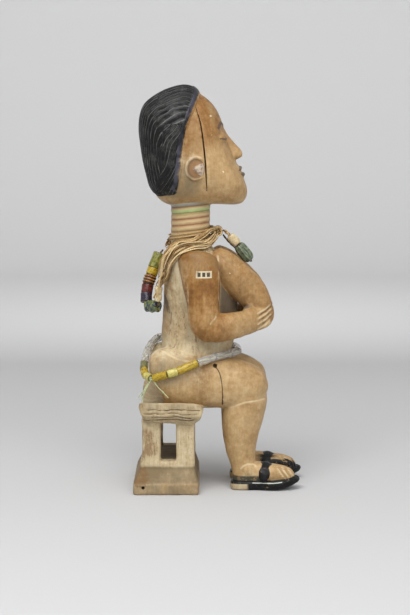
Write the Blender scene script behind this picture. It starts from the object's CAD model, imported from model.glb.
# %% [markdown]
# # A seated woman carved from one block of wood
#
# The object is a painted wooden figure from West Africa, about 40 cm high. A woman sits on a low stool and
# holds her breasts. Woman, sandals and stool are one carving; the fibre at her neck and the strings of
# glass beads are separate. We build the carving as rounded bodies worked out with numpy, fuse them, and cut
# the fine work into the fused skin. Each later cell adds one material thing: fibre, string, beads, paint.

# %% Load the frame
import math

import bpy
import numpy as np
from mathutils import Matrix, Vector
from mathutils.bvhtree import BVHTree


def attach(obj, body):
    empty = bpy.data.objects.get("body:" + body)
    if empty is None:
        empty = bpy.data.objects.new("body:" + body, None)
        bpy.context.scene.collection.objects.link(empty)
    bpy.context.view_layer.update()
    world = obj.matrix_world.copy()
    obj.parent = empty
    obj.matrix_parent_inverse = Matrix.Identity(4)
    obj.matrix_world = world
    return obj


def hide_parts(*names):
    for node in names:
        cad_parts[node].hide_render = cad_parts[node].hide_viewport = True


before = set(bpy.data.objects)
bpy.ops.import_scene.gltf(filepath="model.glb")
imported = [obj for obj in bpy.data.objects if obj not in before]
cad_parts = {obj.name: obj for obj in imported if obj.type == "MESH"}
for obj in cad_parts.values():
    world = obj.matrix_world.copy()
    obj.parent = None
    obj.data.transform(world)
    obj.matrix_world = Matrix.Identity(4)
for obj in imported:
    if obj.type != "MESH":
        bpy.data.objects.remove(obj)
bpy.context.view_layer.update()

MM = 0.001


# %% [markdown]
# ## Camera
#
# The photograph was taken from her right side with a long lens, a little above eye level of the stool. At
# the aim point one pixel is one millimetre, so the lens follows from the distance: distance times sensor
# over the picture's height.

# %% Camera at the photograph's angle
AIM = Vector((0, 14, 178)) * MM
DISTANCE = 1700 * MM
TILT = math.radians(6.3)
PICTURE_HEIGHT = 615
SENSOR = 36

camera_data = bpy.data.cameras.new("camera")
camera_data.sensor_width = SENSOR
camera_data.lens = DISTANCE / MM / PICTURE_HEIGHT * SENSOR
camera = bpy.data.objects.new("camera", camera_data)
bpy.context.scene.collection.objects.link(camera)
bpy.context.scene.camera = camera
view_line = Vector((math.cos(TILT), 0, -math.sin(TILT)))
camera.location = AIM - DISTANCE * view_line
camera.rotation_euler = view_line.to_track_quat("-Z", "Y").to_euler()
print("lens in mm:", round(camera_data.lens, 1))


# %% [markdown]
# ## Bodies from formulas
#
# A carver thinks in rounded masses: an arm is a log that swells and thins along a bent line. We do the
# same. A loft is an oval section carried along a smooth line, and a box tower is a rounded rectangle that
# changes with height. Both are grids of points, worked out as whole arrays, so a shape is a short list of
# stations.

# %% Smooth lines
OFF_AXIS = (0.3, 0.2, 1.0)


def smooth_line(points, places, closed=False, power=0.0):
    """Points at places 0 to 1 on a smooth curve through the given points.

    Between two points runs a cubic whose slope at each end is set by the neighbours; their spacing counts as
    distance to the given power. An open curve is carried straight on at its ends."""
    given = np.asarray(points, float)
    if closed:
        ring = np.concatenate([given[-1:], given, given[:2]])
    else:
        ring = np.concatenate([2 * given[:1] - given[1:2], given, 2 * given[-1:] - given[-2:-1]])
    runs = len(ring) - 3
    place = np.clip(np.asarray(places, float) * runs, 0, runs - 1e-9)
    run = np.floor(place).astype(int)
    t = (place - run)[:, None]
    a, b, c, d = (ring[run + k] for k in range(4))
    ab, bc, cd = (np.linalg.norm(v - u, axis=1, keepdims=True) ** power for u, v in ((a, b), (b, c), (c, d)))
    leave = bc * ((b - a) / ab - (c - a) / (ab + bc) + (c - b) / bc)
    arrive = bc * ((c - b) / bc - (d - b) / (bc + cd) + (d - c) / cd)
    return b + leave * t + (3 * (c - b) - 2 * leave - arrive) * t**2 + (2 * (b - c) + leave + arrive) * t**3


def unit(vectors):
    """Vectors along the last axis, each made one long."""
    return vectors / np.maximum(np.linalg.norm(vectors, axis=-1, keepdims=True), 1e-12)


def circle(sides):
    """Angles evenly round a full turn."""
    return np.linspace(0, 2 * math.pi, sides, endpoint=False)


def way_along(points):
    """Distance along a row of points, from the first one to each of them."""
    return np.concatenate([[0], np.cumsum(np.linalg.norm(np.diff(points, axis=0), axis=1))])


print("a quarter of the way along an arch:", smooth_line([(0, 0), (1, 1), (2, 0)], [0.25])[0].round(2))


# %% Meshes from arrays of millimetres
def grid_faces(rows, columns):
    """Four-cornered faces between rings of points; the last point of a ring is joined to its first."""
    row, column = np.meshgrid(np.arange(rows - 1), np.arange(columns), indexing="ij")
    here, there = row * columns + column, row * columns + (column + 1) % columns
    return np.stack([here, there, there + columns, here + columns], axis=-1).reshape(-1, 4)


def mesh_object(name, points, faces):
    """Smooth-shaded object from points in mm and arrays of faces, each array with its own corner count."""
    corners = np.concatenate([f.ravel() for f in faces])
    sizes = np.concatenate([np.full(len(f), f.shape[1]) for f in faces])
    mesh = bpy.data.meshes.new(name)
    mesh.vertices.add(len(points))
    mesh.vertices.foreach_set("co", (points * MM).ravel())
    mesh.loops.add(len(corners))
    mesh.loops.foreach_set("vertex_index", corners)
    mesh.polygons.add(len(sizes))
    mesh.polygons.foreach_set("loop_start", np.cumsum(sizes) - sizes)
    mesh.update(calc_edges=True)
    mesh.polygons.foreach_set("use_smooth", np.ones(len(sizes), bool))
    made = bpy.data.objects.new(name, mesh)
    bpy.context.scene.collection.objects.link(made)
    return made


def outward(points, faces):
    """Turns every face round when the closed surface's signed volume comes out negative."""
    volume = sum(np.einsum("ij,ij->", points[f[:, 0]], np.cross(points[f[:, k]], points[f[:, k + 1]]))
                 for f in faces for k in range(1, f.shape[1] - 1))
    return [f[:, ::-1] for f in faces] if volume < 0 else faces


def closed_body(grid):
    """Points and faces of a grid of rings whose first and last rings have shrunk to a point."""
    rows, columns = grid.shape[:2]
    inner = grid[1:-1].reshape(-1, 3)
    points = np.concatenate([grid[:1, 0], inner, grid[-1:, 0]])
    here = np.arange(columns)
    there = (here + 1) % columns
    last = 1 + (rows - 3) * columns
    quads = grid_faces(rows - 2, columns) + 1
    start = np.stack([np.zeros(columns, int), 1 + there, 1 + here], axis=1)
    end = np.stack([np.full(columns, len(points) - 1), last + here, last + there], axis=1)
    return points, outward(points, [quads, np.concatenate([start, end])])


def merged(bodies):
    """Several bodies as one list of points and faces, still lying in each other."""
    shift = np.cumsum([0] + [len(points) for points, _ in bodies])
    quads = np.concatenate([faces[0] + shift[k] for k, (_, faces) in enumerate(bodies)])
    tris = np.concatenate([faces[1] + shift[k] for k, (_, faces) in enumerate(bodies)])
    return np.concatenate([points for points, _ in bodies]), [quads, tris]


print("faces between 3 rings of 4 points:", len(grid_faces(3, 4)))


# %% Lofts
DOME_STEPS = 8
NUDGE = 1e-4


def domed_places(rows, domes):
    """Places from 0 to 1, close together in the two domes and even between them."""
    rise = 1 - np.cos(np.linspace(0, math.pi / 2, DOME_STEPS, endpoint=False))
    middle = np.linspace(domes[0], 1 - domes[1], rows)
    return np.concatenate([domes[0] * rise, middle, 1 - domes[1] * rise[::-1]])


def squared(wave, squareness):
    """A sine or cosine raised to 2 / squareness with its sign kept: 2 gives an oval, more a fuller corner."""
    return np.sign(wave) * np.abs(wave) ** (2 / squareness)


def loft_frame(stations, places, domes, side):
    """Centres, directions along side and across it, and half widths of a loft at the given places."""
    side = np.asarray(side, float)
    line = smooth_line(stations, places)
    ahead = smooth_line(stations, np.minimum(places + NUDGE, 1))
    behind = smooth_line(stations, np.maximum(places - NUDGE, 0))
    tangent = unit((ahead - behind)[:, :3])
    across = unit(side - tangent * (tangent @ side)[:, None])
    near = np.minimum(np.minimum(places / domes[0], (1 - places) / domes[1]), 1)
    share = np.sqrt(np.maximum(0, 1 - (1 - near) ** 2))
    return line[:, :3], across, np.cross(tangent, across), line[:, 3:5] * share[:, None]


def loft(stations, rows, sides, domes, side=(1, 0, 0), squareness=2.0):
    """Rounded body along a smooth line through stations of (x, y, z, half width along side, half across).

    A ring is centre + across * half * cos + up * other half * sin. Near an end its size is the height of a
    quarter circle, so both ends are domes."""
    places = domed_places(rows, domes)
    centre, across, up, half = loft_frame(np.asarray(stations, float), places, domes, side)
    turn = circle(sides)
    along = squared(np.cos(turn), squareness)[None, :, None] * (across * half[:, :1])[:, None]
    rise = squared(np.sin(turn), squareness)[None, :, None] * (up * half[:, 1:])[:, None]
    return closed_body(centre[:, None] + along + rise)


def mirrored(make):
    """A part made for her right side (-1) and again for her left (+1), as one list."""
    return [body for side in (-1, 1) for body in make(side)]


print("rings of a loft of 30 rows:", len(domed_places(30, (0.15, 0.15))))


# %% Box towers and bodies seen from the side
def box_tower(levels, corner, sides=48):
    """Stack of rounded rectangles, closed flat: each level is (z, half width in x, y from, y to)."""
    levels = np.asarray(levels, float)
    turn = (np.arange(sides) + 0.5) * 2 * math.pi / sides
    direction = np.stack([np.cos(turn), np.sin(turn)], axis=1)
    half = np.stack([levels[:, 1], (levels[:, 3] - levels[:, 2]) / 2], axis=1)
    middle = np.stack([np.zeros(len(levels)), (levels[:, 3] + levels[:, 2]) / 2], axis=1)
    flat = middle[:, None] + np.sign(direction)[None] * (half - corner)[:, None] + corner * direction[None]
    height = np.repeat(levels[:, 0][:, None], sides, axis=1)
    grid = np.concatenate([flat, height[..., None]], axis=2)
    pole = [np.repeat(ring.mean(axis=0)[None], sides, axis=0)[None] for ring in (grid[0], grid[-1])]
    return closed_body(np.concatenate([pole[0], grid, pole[1]]))


def sagittal_body(outline, centre, half_width, rows=60, columns=160):
    """Body seen from the side: an outline of (y, z, roundness) drawn in to a centre on the way to each cheek.

    At a share x / half_width of the way, its size is (1 - share ** roundness) ** (1 / roundness)."""
    edge = smooth_line(outline, np.linspace(0, 1, columns, endpoint=False), closed=True, power=0.5)
    level = np.cos(np.linspace(0, math.pi, rows))[:, None]
    size = np.maximum(0, 1 - np.abs(level) ** edge[:, 2]) ** (1 / edge[:, 2])
    y = centre[0] + (edge[:, 0] - centre[0]) * size
    z = centre[1] + (edge[:, 1] - centre[1]) * size
    return closed_body(np.stack([np.broadcast_to(half_width * level, y.shape), y, z], axis=-1))


print("points of a cube:", len(box_tower([(0, 1, -1, 1), (2, 1, -1, 1)], corner=0.1)[0]))


# %% [markdown]
# ## Floor and lamps
#
# The floor is a plain pale bowl, flat in the middle and rising far out all round: a soft background from
# every side. The light comes from large soft boxes that the camera itself doesn't see.

# %% Material helpers and the studio's paper
STUDIO_GREY = (0.56, 0.56, 0.563, 1)


def new_material(name):
    """A material with only a Principled shader and its output.

    Returns it, its shader and makers of nodes and links. A node's settings are its own properties, the names
    of its sockets, or i0, i1 and so on for sockets by number."""
    material = bpy.data.materials.new(name)
    material.use_nodes = True
    nodes = material.node_tree.nodes
    links = material.node_tree.links

    def node(kind, **settings):
        """One node with its settings and links."""
        made = nodes.new(kind)
        for key, value in settings.items():
            if hasattr(made, key):
                setattr(made, key, value)
                continue
            socket = made.inputs[int(key[1:])] if key[0] == "i" and key[1:].isdigit() else made.inputs[key]
            if isinstance(value, bpy.types.NodeSocket):
                links.new(value, socket)
            else:
                socket.default_value = value
        return made

    return material, nodes["Principled BSDF"], node, links.new


def plain(shader, **values):
    """Sets plain values on the shader's own sockets, by their names with spaces as underscores."""
    for key, value in values.items():
        shader.inputs[key.replace("_", " ")].default_value = value


studio_paper, paper_shader = new_material("studio_paper")[:2]
plain(paper_shader, Base_Color=STUDIO_GREY, Roughness=0.85)
print("the paper sends back", STUDIO_GREY[0], "of the light")


# %% Floor and lamps
BOWL = {"flat": 2300, "bend": 700, "rise": 500}
BEND_STEPS = 17
WORLD_LIGHT = 0.5
BACKDROP_POWER = 22


def studio_bowl(flat, bend, rise, sides=96):
    """Round floor: flat out to a radius, then a quarter circle of radius bend, then straight up by rise."""
    turn = np.linspace(0, math.pi / 2, BEND_STEPS)
    out = np.concatenate([[flat - bend / 2], flat + bend * np.sin(turn), [flat + bend]])
    height = np.concatenate([[0], bend * (1 - np.cos(turn)), [bend + rise]])
    around = circle(sides)
    rings = np.stack([np.outer(out, np.cos(around)), np.outer(out, np.sin(around)),
                      np.outer(height, np.ones(sides))], axis=-1)
    here = np.arange(sides)
    middle = np.stack([np.zeros(sides, int), 1 + here, 1 + (here + 1) % sides], axis=1)
    walls = grid_faces(len(out), sides)[:, ::-1] + 1
    return np.concatenate([np.zeros((1, 3)), rings.reshape(-1, 3)]), [walls, middle]


def soft_box(name, at, size, power, aim=AIM):
    """Square area light at a point in metres, turned towards the aim and hidden from the camera."""
    data = bpy.data.lights.new(name, "AREA")
    data.size = size
    data.energy = power
    lamp = bpy.data.objects.new(name, data)
    lamp.location = at
    lamp.visible_camera = False
    lamp.rotation_euler = (aim - Vector(at)).to_track_quat("-Z", "Y").to_euler()
    bpy.context.scene.collection.objects.link(lamp)


floor = mesh_object("floor", *studio_bowl(**BOWL))
floor.data.materials.append(studio_paper)

soft_box("main_light", at=(-0.95, 0.3, 1.6), size=1.1, power=25)
soft_box("fill_light", at=(-2.1, -0.9, 1.4), size=1.4, power=19)
for way in (Vector((1, 0, 0)), Vector((0, 1, 0)), Vector((-1, 0, 0)), Vector((0, -1, 0))):
    lamp_at, bowl_at = way * 0.9 + Vector((0, 0, 1.3)), way * 3 + Vector((0, 0, 1.2))
    soft_box("backdrop_light", at=lamp_at, size=1.0, power=BACKDROP_POWER, aim=bowl_at)

world = bpy.data.worlds.new("studio")
world.use_nodes = True
background = world.node_tree.nodes["Background"].inputs
background["Color"].default_value = (1, 1, 1, 1)
background["Strength"].default_value = WORLD_LIGHT
bpy.context.scene.world = world
bpy.context.scene.view_settings.view_transform = "Standard"


# %% [markdown]
# ## Finishes of the glass, clay and string
#
# Each finish is a small tree of nodes with plain words for its parts. Colours are written as they look on a
# screen and turned into light values. The bead's own UV map gives the turn round it and the place along it,
# so rings and trails lie on the glass however the bead is turned.

# %% Colours and a few node words
NOISE_STRAY = 0.22
BUMP_STRENGTH = 0.6


def tone(screen):
    """Light values from a screen colour of three numbers, 0 to 255, or from one plain grey."""
    if isinstance(screen, float):
        return (screen, screen, screen, 1.0)
    share = np.array(screen) / 255
    light = np.where(share <= 0.04045, share / 12.92, ((share + 0.055) / 1.055) ** 2.4)
    return (*light.tolist(), 1.0)


class Palette:
    """Node words for one material: coordinates, noise, steps and layers of colour."""

    def __init__(self, name):
        """Starts from a new material and its shader."""
        self.material, self.shader, self.node, self.link = new_material(name)

    def place(self, scale=(1, 1, 1), uv=False):
        """Coordinates in metres or of the UV map, times a scale: a small number draws a pattern out."""
        coordinates = self.node("ShaderNodeTexCoord").outputs["UV" if uv else "Object"]
        return self.node("ShaderNodeMapping", Vector=coordinates, Scale=scale).outputs[0]

    def noise(self, scale, place=None, detail=3.0, rough=0.6, warp=0.0):
        """Noise near 0.5 with so many cells to the metre: 190 gives spots of about 5 mm."""
        made = self.node("ShaderNodeTexNoise", Scale=scale, Detail=detail, Roughness=rough, Distortion=warp)
        self.link(place or self.place(), made.inputs["Vector"])
        return made.outputs["Fac"]

    def value(self, name):
        """A number carried by the mesh's own points."""
        return self.node("ShaderNodeAttribute", attribute_name=name).outputs["Fac"]

    def axes(self, place):
        """The three numbers of a coordinate."""
        return self.node("ShaderNodeSeparateXYZ", Vector=place).outputs

    def math(self, operation, first, second=0.5):
        """One operation on two values."""
        return self.node("ShaderNodeMath", operation=operation, i0=first, i1=second).outputs[0]

    def times(self, first, second):
        """First times second."""
        return self.math("MULTIPLY", first, second)

    def sum(self, first, second, times=1.0):
        """First plus second times a number."""
        return self.node("ShaderNodeMath", operation="MULTIPLY_ADD", i0=second, i1=times, i2=first).outputs[0]

    def spread(self, *parts):
        """Weighted sum of noises, pulled apart to fill 0 to 1: the parts are (noise, weight)."""
        total, weights = None, [weight for _, weight in parts]
        for noise, weight in parts:
            total = self.times(noise, weight) if total is None else self.sum(total, noise, weight)
        middle, half = sum(weights) / 2, NOISE_STRAY * math.hypot(*weights)
        made = self.node("ShaderNodeMapRange", clamp=True, Value=total)
        made.inputs["From Min"].default_value = middle - half
        made.inputs["From Max"].default_value = middle + half
        return made.outputs[0]

    def step(self, value, start, end, low=0.0, high=1.0):
        """Low before start, high after end, and an S-curve between them; start may be the larger."""
        made = self.node("ShaderNodeMapRange", clamp=True, interpolation_type="SMOOTHSTEP", Value=value)
        if start > end:
            start, end, low, high = end, start, high, low
        for key, number in (("From Min", start), ("From Max", end), ("To Min", low), ("To Max", high)):
            made.inputs[key].default_value = number
        return made.outputs[0]

    def brushed(self, value, noise, sway, start, end, low=0.0, high=1.0):
        """A step whose border sways with a noise, so that it looks brushed."""
        return self.step(self.sum(value, noise, sway), start, end, low, high)

    def box(self, *sides, soft=0.25):
        """1 where every value lies between its two bounds: the sides are (value, low, high)."""
        inside = None
        for value, low, high in sides:
            starts = self.step(value, low - soft, low + soft)
            ends = self.step(value, high + soft, high - soft)
            for edge in (starts, ends):
                inside = edge if inside is None else self.math("MINIMUM", inside, edge)
        return inside

    def layer(self, below, above, share):
        """Two colours, each a socket, a screen colour or a plain grey, with a share of the upper one."""
        made = self.node("ShaderNodeMix", data_type="RGBA", clamp_factor=True, i0=share)
        for socket, colour in ((6, below), (7, above)):
            if isinstance(colour, bpy.types.NodeSocket):
                self.link(colour, made.inputs[socket])
            else:
                made.inputs[socket].default_value = tone(colour)
        return made.outputs[2]

    def ramp(self, value, stops):
        """Screen colours at places from 0 to 1, blended in between."""
        made = self.node("ShaderNodeValToRGB", Fac=value)
        marks = made.color_ramp.elements
        while len(marks) < len(stops):
            marks.new(0.5)
        for mark, (place, colour) in zip(marks, stops):
            mark.position = place
            mark.color = tone(colour)
        return made.outputs[0]

    def bump(self, height, depth):
        """Height of 0 to 1 as a relief depth metres high."""
        made = self.node("ShaderNodeBump", Strength=BUMP_STRENGTH, Distance=depth, Height=height)
        self.link(made.outputs[0], self.shader.inputs["Normal"])

    def colour(self, socket):
        """Takes a colour as the shader's own."""
        self.link(socket, self.shader.inputs["Base Color"])

    def roughness(self, socket):
        """Takes a value as the shader's roughness."""
        self.link(socket, self.shader.inputs["Roughness"])


print("light of a middle screen grey:", round(tone((128, 128, 128))[0], 3))


# %% Opaque glass
BEAD_DIRT = (70, 55, 30)
PIT_DIRT = (95, 75, 45)
BEAD_RIBS = 9


def bead_base(name, deep, pale, worn=0.35):
    """Opaque bead: two tones in streaks along the bead, dirt at both ends, and fine pits."""
    p = Palette(name)
    streaks = p.noise(26, p.place((1, 0.12, 1), uv=True), detail=2)
    blotches = p.noise(260)
    colour = p.layer(deep, pale, p.brushed(streaks, blotches, 0.5, 0.55, 0.95))
    along = p.axes(p.place(uv=True))[1]
    from_middle = p.math("ABSOLUTE", p.math("SUBTRACT", along, 0.5))
    colour = p.layer(colour, BEAD_DIRT, p.brushed(from_middle, blotches, 0.12, 0.50, 0.56, 0, 0.75))
    pits = p.noise(1500, detail=4)
    colour = p.layer(colour, PIT_DIRT, p.step(pits, 0.62, 0.72, 0, worn))
    p.roughness(p.step(blotches, 0.3, 0.7, 0.2, 0.42))
    p.bump(p.sum(pits, streaks, 0.5), 0.00012)
    return p, colour, along


def ringed_bead():
    """Brown-orange glass wound with dark rings: a sine of the way along draws them."""
    p, colour, along = bead_base("orange_glass_with_dark_rings", (112, 68, 28), (172, 116, 54))
    wave = p.math("SINE", p.times(p.sum(along, p.noise(300), 0.05), 22.0))
    p.colour(p.layer(colour, (26, 19, 17), p.step(wave, 0.05, 0.35)))
    return p.material


def trailed_bead():
    """Dark green glass with trails of yellow, green and blue."""
    p, colour, _ = bead_base("mixed_glass_with_trails", (45, 62, 40), (78, 98, 60))
    trails = p.ramp(p.noise(5.5, p.place((1, 0.8, 1), uv=True), detail=1, warp=1.4), [
        (0.0, (38, 52, 92)), (0.40, (38, 52, 92)), (0.47, (40, 58, 42)), (0.53, (186, 178, 76)),
        (0.57, (44, 66, 46)), (0.66, (112, 138, 82)), (0.72, (60, 52, 48))])
    p.colour(p.layer(trails, colour, 0.25))
    return p.material


def ribbed_bead():
    """Weathered green glass: paler on the ribs, dark between them, with ochre specks."""
    p, colour, _ = bead_base("weathered_green_glass", (70, 80, 62), (134, 144, 116), worn=0.25)
    turn = p.axes(p.place(uv=True))[0]
    rib = p.math("ABSOLUTE", p.math("COSINE", p.times(turn, BEAD_RIBS / 2 * 2 * math.pi)))
    colour = p.layer(colour, (44, 52, 40), p.step(rib, 0.55, 0.1, 0, 0.75))
    p.colour(p.layer(colour, (150, 140, 80), p.step(p.noise(900, detail=3), 0.60, 0.70, 0, 0.7)))
    return p.material


# %% Clear glass and clay
def clear_bead():
    """Clear drawn glass, worn dull outside: it shows the string inside and white streaks of light."""
    p = Palette("clear_worn_glass")
    plain(p.shader, Transmission_Weight=0.75, IOR=1.38)
    streaks = p.noise(14, p.place((1, 0.06, 1), uv=True), detail=2)
    p.colour(p.ramp(streaks, [(0.36, (206, 198, 182)), (0.48, (240, 237, 230)), (0.58, (254, 254, 252))]))
    p.roughness(p.step(p.noise(300), 0.3, 0.7, 0.08, 0.25))
    p.bump(streaks, 0.00006)
    return p.material


def clay_bead():
    """Fired clay or shell disc: cream with brown dirt in its pits."""
    p = Palette("cream_fired_clay")
    pits = p.noise(1100, detail=4)
    colour = p.layer((196, 174, 130), (214, 202, 170), p.step(p.noise(240), 0.4, 0.65))
    p.colour(p.layer(colour, (128, 96, 60), p.step(pits, 0.54, 0.68, 0, 0.8)))
    plain(p.shader, Roughness=0.75)
    p.bump(pits, 0.0002)
    return p.material


PLAIN_GLASS = {
    "yellow": ("yellow_glass", (138, 108, 18), (190, 163, 44)),
    "pale": ("pale_yellow_glass", (164, 150, 66), (204, 194, 112)),
    "olive": ("olive_glass", (84, 84, 48), (126, 122, 78)),
    "lime": ("lime_glass", (88, 90, 36), (150, 146, 70)),
    "red": ("red_glass", (62, 18, 16), (108, 44, 36)),
    "blue": ("dark_blue_glass", (24, 22, 38), (58, 48, 62)),
}
OTHER_BEADS = {"clear": clear_bead, "orange": ringed_bead, "mixed": trailed_bead, "cream": clay_bead,
               "green": ribbed_bead}
finishes_made = {}


def bead_finish(kind):
    """The material of one kind of bead, made once and handed out again afterwards."""
    if kind not in finishes_made and kind in PLAIN_GLASS:
        p, colour, _ = bead_base(*PLAIN_GLASS[kind])
        p.colour(colour)
        finishes_made[kind] = p.material
    elif kind not in finishes_made:
        finishes_made[kind] = OTHER_BEADS[kind]()
    return finishes_made[kind]


print("kinds of bead:", len(PLAIN_GLASS) + len(OTHER_BEADS))


# %% String, thread and fibre
FIBRE_BUMP = 0.0003


def twisted_finish(name, dark, light):
    """Dry twisted fibre: fine streaks of two tones with a soft sheen."""
    p = Palette(name)
    fine = p.noise(900, detail=4)
    p.colour(p.layer(dark, light, p.brushed(fine, p.noise(120), 0.6, 0.6, 1.0)))
    plain(p.shader, Roughness=0.85, Sheen_Weight=0.3, Sheen_Roughness=0.4)
    p.bump(fine, FIBRE_BUMP)
    return p.material


def straw_finish():
    """Dry leaf: every strip has its own tone, from brown to straw, with fine streaks."""
    p = Palette("dry_straw_fibre")
    fine = p.noise(700, detail=4)
    shade = p.sum(p.value("strip_tone"), fine, 0.5)
    p.colour(p.ramp(shade, [(0.2, (92, 66, 34)), (0.55, (162, 130, 82)), (0.95, (214, 190, 144))]))
    plain(p.shader, Roughness=0.8)
    p.bump(fine, FIBRE_BUMP)
    return p.material


brown_string = twisted_finish("brown_twisted_string", (58, 42, 28), (122, 94, 60))
pale_thread = twisted_finish("pale_green_thread", (150, 160, 112), (206, 214, 170))
straw = straw_finish()
print("fibre finishes:", brown_string.name, pale_thread.name, straw.name)


# %% [markdown]
# ## Strings first
#
# Three strings carry the beads. Two hang free in part: the loop behind her back and the short loop in front
# of her throat, so they are declared as cords with their true lengths. The third goes round her hips. Each
# is two plies of twisted fibre, so the section of the tube is a figure of eight that turns along the way.

# %% Routes of the strings, in mm
STRING_RADIUS = 1.0
WAIST_STRING_RADIUS = 0.8
THREAD_RADIUS = 0.42
PLY_PITCH = 5.0

NECKLACE_ROUTE = [
    (13.7, 56.2, 234.8), (12, 58.5, 232), (10, 60.5, 229.5), (7, 65.5, 217), (5, 68, 210), (2, 71, 201),
    (0, 72.5, 192.5), (-2.5, 72.5, 186), (-4, 71.8, 182.5), (-6.5, 70, 180), (-17, 61.8, 181), (-19.5, 60, 184),
    (-20.5, 60.3, 189), (-22, 60, 194.5), (-23.5, 59.6, 200), (-24.6, 59.6, 202),
]
NECKLACE_BEADS = [
    None, None, ("lime", 6.0), ("yellow", 5.8), ("orange", 6.0), ("red", 5.8), ("blue", 5.8), None, None,
    ("mixed", 5.9), None, None, ("cream", 3.8), ("cream", 3.8), None,
]
PENDANT_ROUTE = [
    (-6.5, -3.8, 256), (-6.3, -6.5, 254.5), (-6, -9, 252.3), (-5.8, -11.5, 249.5), (-5, -17.5, 243),
    (-4, -19.5, 240.5), (-0.5, -30.5, 226.5), (1.5, -32, 225), (4.5, -31.5, 224.5), (7, -28, 226.5),
    (8.5, -22.5, 231), (9.5, -17, 236.5), (10, -11.5, 241.5), (9.5, -7, 246.5), (8.5, -4, 250.5),
]
PENDANT_BEADS = [None, None, None, ("cream", 4.6), None, ("green", 6.2)] + [None] * 8
WAIST_ROUTE = [
    (-45.5, 66, 113), (-46.8, 63.4, 113.9), (-53.5, 50.5, 118.5), (-51.5, 41, 121), (-50.5, 21, 129.5),
    (-42.5, 4.5, 134), (-27.5, -10.5, 135), (-14, -18.5, 136), (3, -18.5, 136.5), (19, -17.5, 136),
    (34.5, -4.5, 136), (42.5, 12, 137), (42, 30.5, 138.5), (41, 40, 140.5), (37, 54, 145), (28, 62.5, 144),
    (19, 68, 139.5), (8, 71.5, 134.5), (-3, 73.5, 129), (-15, 74.5, 124), (-25, 74.5, 119), (-35, 72.5, 114.5),
    (-43, 67.6, 113.4), (-45.5, 66, 113),
]
WAIST_BEAD_RADIUS = 3.9
WAIST_BEADS = [glass and (glass, WAIST_BEAD_RADIUS) for glass in (
    [None, "yellow", "pale", "yellow"] + ["clear"] * 7 + ["yellow", "pale", "yellow"] + ["clear"] * 5
    + ["olive", "yellow", "pale", None])]


def path_length(points):
    """Sum of the straight steps between points."""
    return float(np.linalg.norm(np.diff(np.asarray(points, float), axis=0), axis=1).sum())


print("necklace string:", round(path_length(NECKLACE_ROUTE), 1), "mm")


# %% Tubes along a path
SAMPLES_PER_POINT = 40
STRING_STEP = 0.8
STRING_SIDES = 12
PLY_WAIST = 0.74
END_DOME = 0.3


def even_path(route, step):
    """Smooth line through a route, resampled to even steps."""
    line = smooth_line(route, np.linspace(0, 1, SAMPLES_PER_POINT * len(route)), power=0.5)
    reach = way_along(line)
    steps = np.linspace(0, reach[-1], max(4, int(reach[-1] / step) + 1))
    return np.stack([np.interp(steps, reach, line[:, axis]) for axis in range(3)], axis=1)


def carried_frames(path):
    """Two directions square to a path at each of its points, carried along so that they don't spin."""
    tangent = unit(np.gradient(path, axis=0))
    side = [unit(np.cross(tangent[0], OFF_AXIS))]
    for along in tangent[1:]:
        side.append(unit(side[-1] - along * (side[-1] @ along)))
    side = np.array(side)
    return side, np.cross(tangent, side)


def tube_body(path, section):
    """Closed tube with low domes at its ends: section is rings by sides by two, in mm across the path."""
    side, up = carried_frames(path)
    rings = path[:, None] + section[..., :1] * side[:, None] + section[..., 1:] * up[:, None]
    start = rings[:1].mean(axis=1, keepdims=True) + END_DOME * unit(path[:1] - path[1:2])[:, None]
    end = rings[-1:].mean(axis=1, keepdims=True) + END_DOME * unit(path[-1:] - path[-2:-1])[:, None]
    start, end = (np.broadcast_to(tip, rings[:1].shape) for tip in (start, end))
    return closed_body(np.concatenate([start, rings, end]))


def string_section(path, radius, sides=STRING_SIDES, pitch=PLY_PITCH):
    """Two plies: the radius is 0.74 + 0.26 |cos| of the angle less the twist, so its waist turns."""
    turn = circle(sides)[None]
    twist = math.pi * way_along(path)[:, None] / pitch
    size = radius * (PLY_WAIST + (1 - PLY_WAIST) * np.abs(np.cos(turn - twist)))
    return np.stack([size * np.cos(turn), size * np.sin(turn)], axis=-1)


def string_body(route, radius):
    """The path of a string through its route, and the string's own points and faces."""
    path = even_path(route, STRING_STEP)
    return path, tube_body(path, string_section(path, radius))


def stand_for(piece, node):
    """The piece takes a frame node's place and finish and moves with the one body."""
    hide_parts(node)
    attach(piece, "root")
    return piece


print("steps along the necklace string:", len(even_path(NECKLACE_ROUTE, STRING_STEP)))


# %% [markdown]
# ## Glass and clay beads
#
# Old trade beads were drawn or wound from hot glass and cut into short tubes, so their ends are rounded and
# their walls a little uneven. A bead is a closed ring: its profile runs out along the outside and back
# through the hole, and is turned round the string. The ribbed green bead and the small swellings come from
# a wave in the radius.

# %% One bead
BEAD_HOLE = 1.6
BEAD_RINGS = 26
BEAD_SIDES = 40
CAP_STEPS = 6
MOST_ROUNDING = 1.1
SWELL_RADIUS = 5.4


def bead_profile(radius, length, round_end):
    """Rings of a bead, out from its axis and along it: outside with rounded ends, then back in the hole."""
    turn = np.linspace(0, math.pi / 2, CAP_STEPS)
    cap_r, cap_y = radius - round_end * (1 - np.sin(turn)), -length / 2 + round_end * (1 - np.cos(turn))
    middle = np.linspace(-length / 2 + round_end, length / 2 - round_end, BEAD_RINGS)[1:-1]
    outside = np.concatenate([cap_y, middle, -cap_y[::-1]])
    size = np.concatenate([cap_r, np.full(len(middle), radius), cap_r[::-1]])
    hole = np.linspace(length / 2, -length / 2, CAP_STEPS)
    return np.concatenate([size, np.full(CAP_STEPS, BEAD_HOLE)]), np.concatenate([outside, hole])


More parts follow.
